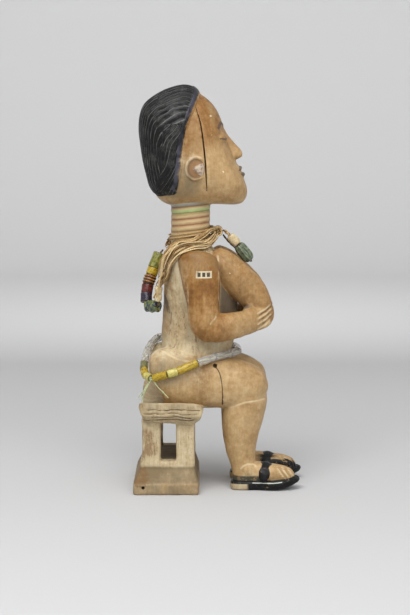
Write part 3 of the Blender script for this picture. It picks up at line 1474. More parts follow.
def hairline():
    """Height and y of the hair's front edge on her side: the first y at which it stands out of the head."""
    height, y = np.linspace(286, 394, 109), np.linspace(12, 60, 193)
    flat = np.stack(np.meshgrid(y, height), axis=-1)
    out = side_reach(flat, *HAIR) - side_reach(flat, *HEAD)
    edge = y[np.argmax(out > 0.2, axis=1)]
    mean = np.full(HAIRLINE_STEPS, 1 / HAIRLINE_STEPS)
    return height, np.convolve(np.pad(edge, HAIRLINE_STEPS // 2, mode="edge"), mean, mode="valid")


HAIRLINE = hairline()


def behind_front_edge(points):
    """How far a point lies behind the front edge of the hair, in mm along Y."""
    return points[:, 1] - np.interp(points[:, 2], *HAIRLINE)


def lock_phase(points):
    """Number of the lock at each point: nested arches from the front edge over the crown to the nape.

    In front, below the temple, the locks fall slantwise from the band instead, like leaves."""
    share, _, here = outline_share(points[:, 1:], HAIR_OUTLINE, ARCH_CENTRE)
    turn = np.arctan2((np.abs(points[:, 0]) / HAIR_HALF_WIDTH) ** 1.2, share**1.2)
    wander = 0.5 * np.sin(2.3 * here + 3 * turn) + 0.4 * waves(points, 46, seed=5)
    wander = wander + 0.07 * waves(points, 15, seed=6)
    arches = turn * 2 / math.pi * LOCKS + wander
    leaves = (points[:, 1] + 0.45 * (points[:, 2] - 340)) / 3.4 + 0.5 * waves(points, 34, seed=8)
    in_front = (behind_front_edge(points) < 19 + 3 * np.sin(points[:, 2] / 9)) & (points[:, 2] < 360)
    return np.where(in_front, leaves, arches)


def hair_cut(points):
    """Depth of cut on the hair: a valley between locks and fine comb lines on each, none on the front band."""
    phase = lock_phase(points)
    depth = 0.75 + 0.35 * waves(points, 20, seed=9)
    fade = ramp(behind_front_edge(points), BAND_WIDTH - 0.5, BAND_WIDTH + 1.0)
    locks = LOCK_DEPTH * depth * grooves(phase, 2) + 0.3 * grooves(2 * phase + 0.4, 2)
    return fade * locks - 0.6 * (1 - fade)


print("hair starts at y =", HAIRLINE[1].min().round(1), "to", HAIRLINE[1].max().round(1))


# %% Gouges of the stool
SEAT_GOUGES = [
    [(71, 84.4), (58, 83.3), (45, 84.2), (32, 83.4), (19, 84.5)],
    [(74, 80.8), (60, 79.8), (48, 80.9), (36, 79.8), (22, 80.8)],
    [(66, 77.2), (54, 76.3), (43, 77.3), (28, 76.4)],
    [(73, 74.6), (60, 73.7), (46, 74.8), (33, 73.8), (25, 74.8)],
]
LEG_GROOVES_APART = 2.8
BASE_SCRATCHES_APART = 2.3


def stool_share(points):
    """1 on the stool and 0 on the woman: behind her calves and below the seat's curling top."""
    x, y, z = points.T
    seat_top = seat_curl(np.clip(x, -STOOL_HALF_WIDTH, STOOL_HALF_WIDTH))
    return ramp(y, 10, 13) * ramp(z, seat_top + 2, seat_top - 0.5)


def stool_cut(points):
    """Long wavy gouges across the seat's ends, upright ones on the legs, faint level scratches on the base."""
    x, y, z = points.T
    wobble = waves(points, 22, seed=11)
    seat_end = ramp(z, 66, 70) * ramp(np.abs(x), 50, 54)
    legs = ramp(z, 31, 33) * ramp(z, 69, 66)
    base = ramp(z, 32, 30)
    level = np.stack([y, z + 0.6 * wobble + 0.3 * waves(points, 8, seed=14)], axis=1)
    nearest = np.min([np.abs(line_gap(level, line)) for line in SEAT_GOUGES], axis=0)
    across = np.exp(-(nearest / 0.55) ** 2) * (0.7 + 0.3 * ramp(waves(points, 12, seed=13), -0.5, 0.4))
    upright = grooves((y + 0.8 * x + 1.2 * wobble) / LEG_GROOVES_APART, 3)
    scratches = grooves((z + 0.9 * wobble) / BASE_SCRATCHES_APART, 4)
    patches = ramp(waves(points, 15, seed=12), -0.6, 0.6)
    return 0.9 * seat_end * across + patches * (0.55 * legs * upright + 0.32 * base * scratches)


print("gouges across each end of the seat:", len(SEAT_GOUGES))


# %% Creases, fingers and toes
KNEE_CREASE = [(-11.5, 84), (-25.2, 89.7), (-46.1, 92)]
WAIST_RIDGE = [(56, 139), (40, 131.5), (21, 128)]
FINGER_GAPS = [[(-38, z + 1.5), (-46, z + 5.5), (-53, z + 11)] for z in (160.8, 166.0, 171.2)]
TOE_GAPS = (-7, -2.4, 2.2, 6.8)
TOE_SLANTS = (-58, -63, -68)


def groove(gap, width):
    """1 on a line, falling off to both sides as a bell curve of a half width."""
    return np.exp(-(gap / width) ** 2)


def body_cut(points):
    """Knife facets all over, and the creases behind the knees."""
    return 0.14 * waves(points, 12, seed=21) + 0.5 * groove(line_gap(points[:, 1:], KNEE_CREASE), 1.1)


def finger_cut(points):
    """Three slanting grooves that part the fingers of each hand."""
    near = ramp(np.abs(points[:, 0]), 8, 11) * ramp(points[:, 1], -36, -40) * ramp(points[:, 2], 192, 186)
    gaps = [np.abs(line_gap(points[:, 1:], line)) for line in FINGER_GAPS]
    return 0.9 * near * groove(np.min(gaps, axis=0), 0.9)


def toe_cut(points):
    """Four grooves between the toes on the front of each foot, and three slanting ones on its sides."""
    depth = np.zeros(len(points))
    above_sole = ramp(points[:, 2], 11.2, 12.4)
    for side in (-1, 1):
        middle, reach = foot_place(side)
        across = points[:, 0] - middle
        front = ramp(points[:, 1], -54 - reach, -60 - reach) * above_sole * ramp(points[:, 2], 30, 26)
        for line in TOE_GAPS:
            depth += front * groove(across - line, 0.75)
        ends = ramp(np.abs(across), 8, 10) * ramp(np.abs(across), 20, 18) * above_sole
        for start in TOE_SLANTS:
            slant = [(start - reach, 25), (start - 9 - reach, 12)]
            depth += 0.45 * ends * groove(line_gap(points[:, 1:], slant), 0.8)
    return 1.6 * depth


print("grooves on each foot:", len(TOE_GAPS) + len(TOE_SLANTS))


# %% Smooth the skin
SKIN_ROUNDS = 5
BLEND_ROUNDS = 24
BLEND_SPOTS = [((40, 24, 237), 15), ((27, -34, 92), 12), ((34, 30, 131), 20), ((27, 62, 122), 22)]

points = read(carving.data, "vertices", "co", 3) / MM
edges = read(carving.data, "edges", "vertices", 2, np.int32)
points = smoothed(points, edges, rounds=SKIN_ROUNDS)
spots = [((side * x, y, z), radius) for (x, y, z), radius in BLEND_SPOTS for side in (-1, 1)]
blend = np.max([ball(points, *spot) for spot in spots], axis=0)
points = smoothed(points, edges, rounds=BLEND_ROUNDS, weight=blend)
print("points in the softened joins:", int((blend > 0).sum()))


# %% Cut the skin
def set_points(points):
    """Moves the carving's points to these places in mm."""
    carving.data.vertices.foreach_set("co", (points * MM).ravel())
    carving.data.update()


def keep(name, values):
    """Stores one number for each point of the carving."""
    carving.data.attributes.new(name, "FLOAT", "POINT").data.foreach_set("value", values.astype(np.float32))


on_hair = ramp(sagittal_gap(points, *HAIR), 1.2, 0.5) * ramp(points[:, 2], 286, 290)
on_head = ramp(points[:, 2], 276, 284)
cut = on_hair * hair_cut(points) + stool_share(points) * stool_cut(points)
cut = cut + toe_cut(points) + finger_cut(points)
cut += (1 - on_hair) * (1 - 0.6 * on_head) * body_cut(points)
set_points(points)
points = points - point_normals(carving.data) * cut[:, None]
points[:, 2] = np.maximum(points[:, 2], 0)
set_points(points)
hollow = ((smoothed(points, edges, rounds=10) - points) * point_normals(carving.data)).sum(axis=1)
keep("hollow", hollow)
print("deepest cut:", round(cut.max(), 2), "mm")


# %% Thin the net where it's flat
MOST_TRIANGLES = 194000
before = triangle_count(carving.data)
with_modifier(carving, "DECIMATE", ratio=MOST_TRIANGLES / before, use_collapse_triangulate=True)
print(before, "triangles thinned to", triangle_count(carving.data))


# %% [markdown]
# ## Cracks and nail holes
#
# The block has dried and split: one long crack runs down the side of the head, a fine one round the thigh,
# and two nails have left holes. They're cut clean through the skin with a boolean, so they stay dark by
# their own depth.

# %% Cut the cracks and holes
HEAD_CRACK = [(-24, 22.5, 375, 9, 0.14), (-34, 18.2, 360, 9, 0.42), (-38, 15.6, 342, 9, 0.62),
              (-39, 13.7, 324, 9, 0.66), (-38.5, 12.9, 308, 9, 0.5), (-35, 12, 294, 9, 0.14)]
THIGH_CRACK = [(-44, 3.2, 124, 6, 0.1), (-47, -0.4, 118, 6, 0.12), (-49, -2.4, 108, 6, 0.13),
               (-48, -3.2, 97, 6, 0.12), (-44, -2.6, 84, 6, 0.1)]
CRACK_LOFT = {"domes": (0.05, 0.05)}
NAIL_HOLES = [(-44, 4.2, 125.4, 1.9), (-60, 74.5, 7.4, 1.5)]
HOLE_REACH = 6


def hole_body(x, y, z, radius):
    """Slightly ragged round hole along X, as deep as it reaches out: its radius sways by two sines."""
    turn = circle(20)
    ragged = radius * (1 + 0.08 * np.sin(3 * turn) + 0.05 * np.sin(5 * turn + 1))
    ring = np.stack([ragged * np.cos(turn), ragged * np.sin(turn)], axis=1)
    places = np.array([(-HOLE_REACH, 0), (-HOLE_REACH, 1), (HOLE_REACH, 1), (HOLE_REACH, 0)], float)
    flat = (y, z) + places[:, 1:, None] * ring[None]
    along = np.broadcast_to(x + places[:, :1], flat.shape[:2])
    return closed_body(np.concatenate([along[..., None], flat], axis=-1))


cutters = [loft(HEAD_CRACK, rows=30, sides=12, **CRACK_LOFT)]
cutters.append(loft(THIGH_CRACK, rows=20, sides=8, **CRACK_LOFT))
cutters += [hole_body(*hole) for hole in NAIL_HOLES]
for order, cutter in enumerate(cutters):
    knife = mesh_object(f"knife_{order}", *cutter)
    with_modifier(carving, "BOOLEAN", object=knife, operation="DIFFERENCE", solver="MANIFOLD")
    bpy.data.objects.remove(knife)
print("triangles after the cuts:", triangle_count(carving.data))


# %% [markdown]
# ## Where each paint lies
#
# The carver's wood is bare on the limbs and face, rubbed with white clay on trunk and stool, and painted
# black on hair and sandals. Every border is a distance in mm, worked out for each point of the final net
# and kept on it as an attribute. The finish then draws the border sharp, with a little noise so that it
# looks brushed.

# %% Hair and neck
NOWHERE = 9
HAIR_FOOT = 286
points = read(carving.data, "vertices", "co", 3) / MM
x, y, z = points.T


def least(gaps):
    """The smallest of several distances, point by point."""
    return np.min(list(gaps), axis=0)


def zone(values, low, high, soft=4.0):
    """1 between two values, falling softly to 0 on both sides."""
    return ramp(values, low - soft, low) * ramp(values, high + soft, high)


hair_gap = sagittal_gap(points, *HAIR)
keep("hair_gap", np.where(z > HAIR_FOOT, hair_gap, NOWHERE))
keep("behind_edge", behind_front_edge(points))
keep("lock_phase", lock_phase(points))

on_neck = ramp(np.hypot(x, y - NECK_AXIS), NECK_RADIUS + 3.5, NECK_RADIUS + 1.5) * zone(z, 240, 287, 2)
ring_height = z + RING_RISE * (y - NECK_AXIS)
keep("on_neck", on_neck)
keep("ring_height", ring_height)
keep("ring_crest", ring_wave(ring_height))
print("points in the hair:", int((hair_gap < 1).sum()))


# %% Parts of the figure
def part_gap(*makers, **how):
    """Distance to the nearest of some lofts and their mirror images."""
    return least(loft_gap(points, make(side), **how) for make in makers for side in (-1, 1))


arm_gap = part_gap(upper_arm_stations, forearm_stations)
breast_gap = part_gap(breast_stations)
on_arm = ramp(arm_gap, 1.6, 0.4) * (1 - on_neck)
on_breast = ramp(breast_gap, 1.8, 0.6) * (1 - on_arm)
on_head = ramp(z, 284, 290)
on_trunk = zone(z, 140, 238, 8) * (1 - on_arm) * (1 - on_breast)
on_hip = zone(z, 114, 140, 16) * ramp(y, -4, 42) * (1 - on_arm)
on_calf = ramp(z, 92, 84) * ramp(y, 10, 6)
on_stool = stool_share(points)
shoulder = np.max([ball(points, (side * 43, 22, 234), 19) for side in (-1, 1)], axis=0) * (1 - on_neck)
arm_top = np.maximum(on_arm * ramp(z, 205, 222), shoulder)
temple = on_head * ramp(z + y, 338, 372) * (1 - ramp(hair_gap, 3, 0))
heel_block = zone(z, 0, 8, 1.5) * ramp(y, -38, -34) * ramp(y, 0, -6) * (1 - on_stool)
print("points on the arms:", int((on_arm > 0.5).sum()))


# %% Polish and clay
polish = on_arm * (0.4 + 0.5 * ramp(y, -20, 4)) * (1 - 0.25 * ramp(z, 184, 168))
polish += 0.45 * on_breast + shoulder * (1 - on_arm) + 0.12 * on_calf
polish += on_head * (0.18 + 0.22 * ramp(z, 325, 350)) + 0.35 * temple
polish += 0.4 * on_trunk * ramp(y, 42, 54)
keep("polish", np.clip(polish, 0, 1))

beside_arm = np.exp(-((arm_gap - 3) / 4) ** 2) * ramp(y, 26, 32) * zone(z, 160, 228)
at_waist = 0.2 * zone(z, 137, 152, 5) * ramp(y, -16, 0)
keep("chalk", np.maximum(beside_arm, at_waist) * (1 - on_arm))

clay = 0.65 * on_trunk * ramp(y, -26, -8) * (1 - 0.5 * ramp(y, 44, 54)) + 0.5 * on_hip
clay += on_stool * (0.4 + 0.6 * ramp(z, 10, 18)) + 0.6 * beside_arm + 0.8 * heel_block
clay += 0.4 * ball(points, (-34, -30, 17), 12) + 0.3 * on_head * ball(points, (-38, 33, 318), 20)
keep("clay", np.clip(clay, 0, 1))
print("mean clay:", round(float(clay.mean()), 2))


# %% Wear, shade and dirt
WORN_SPOTS = [((-60, 16, 90), 10), ((-60, 78, 91), 10), ((-50, 74, 56), 14), ((-50, 67, 44), 12),
              ((-51, 80, 38), 14), ((-56, 78, 18), 16)]
SCAR = [(54, 191), (51.5, 183), (50, 176)]

worn_spots = np.max([ball(points, spot, reach) for spot, reach in WORN_SPOTS], axis=0)
keep("worn_through", np.maximum(worn_spots, 0.85 * arm_top))

under_arm = zone(z, 168, 206, 5) * ramp(y, 2, -3) * ramp(y, -34, -27)
under_arm = under_arm * (1 - on_arm) * ramp(breast_gap, 0.3, 1.4)
floor_of_stool = on_stool * ramp(np.abs(x), 40, 34) * zone(z, 22, 40, 3) * zone(y, 28, 73, 3)
keep("shade", np.clip(under_arm + floor_of_stool, 0, 1))

stain = on_stool * (0.7 * zone(z, 13, 25, 3) + 0.45 * ramp(z, 13, 9) + 0.28 * ramp(z, 68, 72))
stain += 0.2 * temple + 0.6 * on_head * ball(points, (-38, 40, 300), 30)
stain += 0.3 * on_trunk * zone(z, 152, 186, 10) * ramp(y, 22, 34)
stain += 0.35 * on_hip * ramp(z, 138, 128) + 0.1 * arm_top
keep("stain", np.clip(stain, 0, 1))

keep("gouge", on_stool * stool_cut(points))
keep("scratched", zone(z, 142, 176, 10) * zone(y, 22, 46, 8) * (1 - on_arm))
keep("scar", np.abs(line_gap(points[:, 1:], SCAR)) * np.where(x < 0, 1, NOWHERE))
print("mean stain:", round(float(stain.mean()), 2))


# %% Sandals
SOLE_TOP_AT = [11, 36, 54, 68, 80.3]
SOLE_TOP = [8.6, 8.6, 9.0, 11.0, 13.6]

keep("sole_gap", np.where(z < 16, part_gap(sole_stations, **SOLE_LOFT), NOWHERE))
keep("strap_gap", part_gap(strap_stations, **STRAP_LOFT))
foot_reach = np.where((x > 0) & (-y > 36), LEFT_REACH, 0)
sole_rim = np.where(y < -8, z - np.interp(-y - foot_reach, SOLE_TOP_AT, SOLE_TOP), NOWHERE)
keep("sole_rim", sole_rim)
inner_border = zone(x, 6, 19, 2) * zone(z, 13, 25, 2) * ramp(y, -38, -44)
inner_border += zone(x, 12, 40, 2) * ramp(y, -73, -77)
keep("inner_border", np.clip(inner_border, 0, 1))
keep("forward", -y)
print("points on the soles' upper edge:", int((np.abs(sole_rim) < 0.5).sum()))


# %% Pale lines, cracks and flakes on her side
ANKLE_ARC = [(-21.3, 21.7), (-24, 25), (-28.2, 26.7), (-33, 26), (-37, 23.7)]
ELBOW_CREASE = [(8.5, 168.5), (4, 174), (0.5, 180)]
ARM_EDGE = [(1.5, 232), (0.5, 222), (-0.3, 204), (0.4, 186)]
FINGER_TOPS = [[(-38, foot + 2), (-45.5, foot + 5.5), (-51, foot + 10)]
               for foot in (158.2, 163.4, 168.6, 173.8)]
TOE_SIDES = [[(start, 24), (start - 7, 14)] for start in (-56, -61, -66)]
PALE_LINES = [KNEE_CREASE, WAIST_RIDGE, ANKLE_ARC, ELBOW_CREASE, ARM_EDGE, *FINGER_TOPS, *TOE_SIDES]
FLAKES = [(8.4, 368.6), (8.4, 350.2), (21.3, 339.9), (-3.7, 314.2), (-9.9, 214.9), (24, 205), (6, 300)]

facing_out = ramp(np.abs(point_normals(carving.data)[:, 0]), 0.25, 0.5)
line_apart = least(np.abs(line_gap(points[:, 1:], line)) for line in PALE_LINES)
line_apart = np.where((np.abs(x) > 18) & (z < 236), line_apart, LINE_REACH)
keep("pale_line", line_apart + LINE_REACH * (1 - facing_out))

hole_gaps = [np.hypot(y - hole_y, z - hole_z) - radius + NOWHERE * (np.abs(x - hole_x) > 6.5)
             for hole_x, hole_y, hole_z, radius in NAIL_HOLES]
crack_gaps = [loft_gap(points, HEAD_CRACK, **CRACK_LOFT), loft_gap(points, THIGH_CRACK)]
keep("crack_gap", least(crack_gaps + hole_gaps))
keep("flake_gap", least(np.hypot(y - flake[0], z - flake[1]) for flake in FLAKES) + NOWHERE * (x > 0))
print("pale lines:", len(PALE_LINES), "flakes:", len(FLAKES))


# %% Face, ear and breast
def face_gap(stations, dome):
    """Distance to the nearer of two lofts of the face that run outwards from its middle."""
    return least(loft_gap(points, stations(side), (dome, dome), face_across(side)) for side in (-1, 1))


keep("brow_gap", face_gap(brow_stations, 0.15))
keep("lid_gap", face_gap(lid_line, 0.1))
keep("lip_gap", least(loft_gap(points, lip_stations(*lip), (0.2, 0.2), LEAN_ACROSS) for lip in LIPS))
keep("nipple_gap", least(np.linalg.norm(points - (side * 9, -52, 161), axis=1) for side in (-1, 1)) - 7)
keep("lobe_gap", part_gap(lobe_stations, domes=(0.2, 0.2)))
ear_back, ear_up = (y - EAR_CENTRE[0]) / EAR_RADII[0], (z - EAR_CENTRE[1]) / EAR_RADII[1]
keep("ear_top", ramp((ear_back + ear_up) * 0.7, -0.2, 0.5))
keep("ear_gap", np.hypot(ear_back, ear_up))
print("attributes:", len(carving.data.attributes))


# %% [markdown]
# ## The finish of the carving
#
# One material covers the whole block, built up in the order in which the layers came: wood with its upright
# grain, orange-brown polish where hands have held it, white clay, black and coloured paint, then dirt in
# the hollows and wear on the ridges.

# %% Wood, polish and clay
WOOD_TONES = [(0.0, (141, 109, 69)), (0.5, (175, 144, 100)), (1.0, (200, 173, 130))]
POLISH_TONES = [(0.0, (101, 63, 27)), (0.4, (134, 93, 45)), (1.0, (178, 140, 90))]
CLAY_TONES = [(0.0, (152, 132, 99)), (0.45, (184, 165, 130)), (1.0, (210, 196, 165))]


def wood_noises(p):
    """Noises that all layers share: grain, fine hairs and streaks run upright, the others lie in spots."""
    p.grain = p.noise(420, p.place((1, 1, 0.05)), detail=5, rough=0.7, warp=0.2)
    p.fine = p.noise(1500, p.place((1, 1, 0.08)), detail=3)
    p.clouds = p.noise(38, detail=3)
    p.mottle = p.noise(190, detail=5, rough=0.7)
    p.streaks = p.noise(110, p.place((1, 1, 0.2)), detail=4, rough=0.6)
    p.drift = p.spread((p.streaks, 1), (p.clouds, 1))
    p.patches = p.spread((p.mottle, 1), (p.streaks, 1))


def brush(p, colour, paint, name, sway, start, end, most=1.0):
    """A paint laid on where a number of the points passes from start to end, with a border that sways."""
    return p.layer(colour, paint, p.brushed(p.value(name), p.mottle, sway, start, end, 0, most))


def wood_and_clay(p):
    """Bare wood, the orange-brown polish of hands and white clay; also returns the share of clay."""
    wood = p.spread((p.grain, 0.35), (p.fine, 0.2), (p.clouds, 1.1), (p.mottle, 0.8), (p.streaks, 0.4))
    amber = p.spread((p.grain, 0.35), (p.clouds, 1.0), (p.mottle, 0.8), (p.streaks, 0.7))
    polish_share = p.brushed(p.value("polish"), p.drift, 0.5, 0.3, 1.0)
    colour = p.layer(p.ramp(wood, WOOD_TONES), p.ramp(amber, POLISH_TONES), polish_share)
    clay = p.ramp(p.spread((p.mottle, 1), (p.grain, 0.8), (p.streaks, 0.8)), CLAY_TONES)
    clay_share = p.brushed(p.value("clay"), p.patches, 0.5, 0.3, 1.1)
    return p.layer(colour, clay, clay_share), clay_share


print("tones of bare wood:", len(WOOD_TONES))


# %% Marks on her side
MARK_SIDE = (-44, -45)
MARK_Y, MARK_Z = (7.4, 22.9), (212.7, 219.5)
SQUARE_STARTS, SQUARE_WIDTH, SQUARE_Z = (9.2, 13.7, 18.2), 3.0, (214.0, 218.2)


def side_marks(p, colour):
    """Pale creases, brown scratches on the lower trunk, chalk, a dark scar on the back and white flakes."""
    colour = brush(p, colour, (216, 198, 160), "pale_line", 1.8, 2.3, 1.0, 0.7)
    scratches = p.step(p.noise(150, p.place((1, 1, 0.4)), detail=3, rough=0.8, warp=1.8), 0.56, 0.62, 0, 0.75)
    colour = p.layer(colour, (112, 82, 54), p.times(scratches, p.value("scratched")))
    chalk = p.times(p.value("chalk"), p.step(p.patches, 0.0, 0.8, 0.45, 0.85))
    colour = p.layer(colour, (222, 206, 172), chalk)
    colour = brush(p, colour, (70, 58, 48), "scar", 4.0, 4.4, 2.8, 0.85)
    return brush(p, colour, (226, 212, 178), "flake_gap", 1.0, 2.0, 1.4)


def worn_mark(p, colour):
    """A worn pale oblong on the upper arm with three plain dark squares, drawn from the place in mm."""
    side, back, up = p.axes(p.place((1 / MM, 1 / MM, 1 / MM)))[:3]
    on_side = p.step(side, *MARK_SIDE)
    colour = p.layer(colour, (206, 194, 164), p.times(p.box((back, *MARK_Y), (up, *MARK_Z)), on_side))
    for start in SQUARE_STARTS:
        square = p.box((back, start, start + SQUARE_WIDTH), (up, *SQUARE_Z))
        colour = p.layer(colour, (66, 58, 46), p.times(square, on_side))
    return colour


print("squares on the mark:", len(SQUARE_STARTS))


# %% Dirt and wear
DIRT = (84, 60, 36)


def dirt_and_wear(p, colour):
    """Grey stain, bare brown wood, dirt in gouges and hollows, pale wear on ridges, shade in corners."""
    stain = p.brushed(p.value("stain"), p.drift, 0.5, 0.25, 1.1)
    colour = p.layer(colour, (122, 105, 78), stain)
    bare = p.sum(p.spread((p.mottle, 1), (p.fine, 0.7), (p.streaks, 0.8)), p.value("worn_through"), 0.7)
    colour = p.layer(colour, (118, 86, 48), p.step(bare, 0.85, 1.4, 0, 0.75))
    colour = brush(p, colour, DIRT, "gouge", 0.4, 0.42, 0.75, 0.75)
    specks = p.spread((p.mottle, 1))
    colour = p.layer(colour, DIRT, p.brushed(p.value("hollow"), specks, 0.1, 0.22, 0.6, 0, 0.7))
    ridges = p.brushed(p.value("hollow"), specks, -0.1, -0.42, -0.95, 0, 0.65)
    off_the_ear = p.step(p.value("ear_gap"), 1.2, 1.4, 0.25, 1)
    colour = p.layer(colour, (214, 194, 156), p.times(ridges, off_the_ear))
    return p.layer(colour, (74, 62, 52), p.times(p.value("shade"), 0.85))


print("light of the dirt's red:", round(tone(DIRT)[0], 3))


# %% Painted rings of the neck
STRAW, CREAM, ROSE = (162, 132, 90), (196, 175, 132), (164, 116, 84)
GREEN, GREY = (164, 186, 124), (138, 144, 140)
RING_PAINT = [
    (239, STRAW), *[(241 + 3 * k, (CREAM, STRAW)[k % 2]) for k in range(7)], (262, ROSE), (265, CREAM),
    (268, ROSE), (270.5, CREAM), (272.5, STRAW), (273.6, GREEN), (276.2, GREEN), (277.4, CREAM),
    (280, STRAW), (281.2, GREY), (283.5, (196, 192, 176)), (286, GREY)]
PAINT_HEIGHT = NECK_TOP - NECK_FOOT
PAINT_SHIFT = 1.8


def neck_paint(p, colour):
    """Straw, cream, rose, green and a blue-grey collar from the foot up, with dirt in the grooves.

    The height sways with two noises, which would raise it by PAINT_SHIFT on average."""
    height = p.sum(p.sum(p.value("ring_height"), p.mottle, 1.2), p.noise(55), 2.4)
    share = p.math("DIVIDE", p.math("SUBTRACT", height, NECK_FOOT + PAINT_SHIFT), PAINT_HEIGHT)
    rings = p.ramp(share, [((level - NECK_FOOT) / PAINT_HEIGHT, paint) for level, paint in RING_PAINT])
    rings = brush(p, rings, (116, 88, 56), "ring_crest", 0.3, 0.75, 0.25, 0.75)
    return p.layer(colour, rings, p.times(p.value("on_neck"), 0.92))


print("paint levels on the neck:", len(RING_PAINT))


# %% Ear, brows and lips
def ear_and_face(p, colour):
    """Brown hollow, pale upper rim and grey lobe of the ear; dark brows, lids and lips."""
    hollow = p.layer((132, 94, 58), (78, 50, 30), p.step(p.value("ear_gap"), 0.55, 0.9))
    colour = p.layer(colour, hollow, p.step(p.value("ear_gap"), 0.93, 0.78, 0, 0.75))
    from_rim = p.math("ABSOLUTE", p.math("SUBTRACT", p.value("ear_gap"), 1.03))
    rim = p.times(p.step(from_rim, 0.10, 0.02, 0, 0.3), p.value("ear_top"))
    colour = p.layer(colour, (216, 202, 172), rim)
    lobe = p.layer((122, 98, 78), (186, 172, 154), p.step(p.mottle, 0.4, 0.58))
    colour = brush(p, colour, lobe, "lobe_gap", 0.9, 1.15, 0.75, 0.85)
    ink = p.value("brow_gap")
    for name in ("lip_gap", "nipple_gap", "lid_gap"):
        ink = p.math("MINIMUM", ink, p.value(name))
    return p.layer(colour, (66, 60, 58), p.brushed(ink, p.mottle, 0.8, 0.9, 0.5, 0, 0.75))


print("half axes of the ear in mm:", EAR_RADII)


# %% Black paint of hair and sandals
def hair_paint(p, colour, black):
    """Black locks with a pale line on each, grey patches, the blue-grey front band and a few chips."""
    each_lock = p.node("ShaderNodeTexWhiteNoise", noise_dimensions="1D",
                       W=p.math("FLOOR", p.value("lock_phase"), 0)).outputs["Value"]
    from_line = p.math("ABSOLUTE", p.math("SUBTRACT", p.math("FRACT", p.value("lock_phase"), 0), 0.24))
    strand = p.brushed(from_line, p.fine, 0.12, 0.18, 0.07)
    bright = p.brushed(p.noise(110, detail=5, rough=0.7), each_lock, 0.5, 0.60, 0.96, 0.04, 0.8)
    locks = p.layer(black, (62, 63, 58), p.step(p.noise(75, detail=4, rough=0.7), 0.50, 0.66, 0, 0.5))
    locks = p.layer(locks, (114, 113, 107), p.times(strand, bright))
    band = p.box((p.sum(p.value("behind_edge"), p.mottle, 0.8), 1.2, BAND_WIDTH + 0.4), soft=0.5)
    band_paint = p.layer((24, 24, 29), (68, 67, 79), p.step(p.noise(60, detail=2), 0.42, 0.6))
    locks = p.layer(locks, band_paint, p.times(band, 0.85))
    on_hair = p.brushed(p.value("hair_gap"), p.mottle, 0.6, 1.25, 0.95)
    on_hair = p.times(on_hair, p.step(p.noise(260, detail=5, rough=0.8), 0.71, 0.74, 1, 0.35))
    return p.layer(colour, locks, on_hair), on_hair


def sandal_paint(p, colour, black):
    """Black soles, straps and borders over a dark smear, worn in spots, and a white line on the soles."""
    forward, rim = p.value("forward"), p.value("sole_rim")
    sole = p.brushed(p.value("sole_gap"), p.mottle, 0.4, 1.5, 1.1)
    sole = p.times(sole, p.brushed(forward, p.mottle, 3, 28, 31, 0.15, 1))
    strap = p.brushed(p.value("strap_gap"), p.mottle, 0.9, 1.9, 1.4)
    smear = p.box((rim, -0.6, 6.0), (forward, 8, 47), soft=0.8)
    smear = p.times(smear, p.step(p.mottle, 0.38, 0.52, 0.3, 0.95))
    colour = p.layer(colour, (58, 60, 51), smear)
    outline = p.times(p.box((rim, -2.2, 1.2)), p.step(p.mottle, 0.30, 0.40))
    border = p.times(p.value("inner_border"), p.step(p.noise(170, p.place((1, 0.25, 1))), 0.32, 0.44))
    sandals = p.math("MAXIMUM", p.math("MAXIMUM", sole, strap), p.math("MAXIMUM", outline, border))
    sandals = p.times(sandals, p.step(p.noise(330, detail=5, rough=0.75), 0.60, 0.68, 1, 0.45))
    colour = p.layer(colour, black, sandals)
    white = p.box((p.sum(rim, p.mottle, 0.5), -1.2, -0.5), (forward, 33, 62), soft=0.2)
    return p.layer(colour, (206, 212, 204), p.times(white, 0.9)), sandals


print("width of the hair's front band:", BAND_WIDTH, "mm")


# %% Give the carving its finish
WOOD_ROUGHNESS, CLAY_ROUGHNESS, PAINT_ROUGHNESS = 0.46, 0.8, 0.36
WOOD_RELIEF = 0.0003


def carving_finish():
    """All layers in the order in which they came onto the wood, then its gloss and its fine relief."""
    p = Palette("painted_carved_wood")
    wood_noises(p)
    colour, clay_share = wood_and_clay(p)
    colour = worn_mark(p, side_marks(p, colour))
    colour = dirt_and_wear(p, colour)
    colour = ear_and_face(p, neck_paint(p, colour))
    black = p.layer((4, 4, 5), (18, 18, 19), p.step(p.mottle, 0.4, 0.62))
    colour, on_hair = hair_paint(p, colour, black)
    colour, sandals = sandal_paint(p, colour, black)
    p.colour(p.layer(colour, (44, 24, 14), p.step(p.value("crack_gap"), 0.35, 0.05, 0, 0.8)))
    rough = p.layer(WOOD_ROUGHNESS, CLAY_ROUGHNESS, clay_share)
    p.roughness(p.layer(rough, PAINT_ROUGHNESS, p.math("MAXIMUM", on_hair, sandals)))
    plain(p.shader, Specular_IOR_Level=0.28)
    p.bump(p.spread((p.grain, 0.8), (p.fine, 0.5), (p.mottle, 0.6)), WOOD_RELIEF)
    return p.material


carving.data.materials.clear()
carving.data.materials.append(carving_finish())
print("nodes in the wood's finish:", len(carving.data.materials[0].node_tree.nodes))


# %% [markdown]
# ## Hank of plant fibre
#
# Strips of dried palm leaf are wound round the foot of the neck, knotted in front and led over her right
# shoulder down her back. Each strip is a thin flat tube. A bundle carries several round one route, each at
# its own angle that turns slowly, and wherever a strip would sink into the wood it's lifted out onto the
# surface.

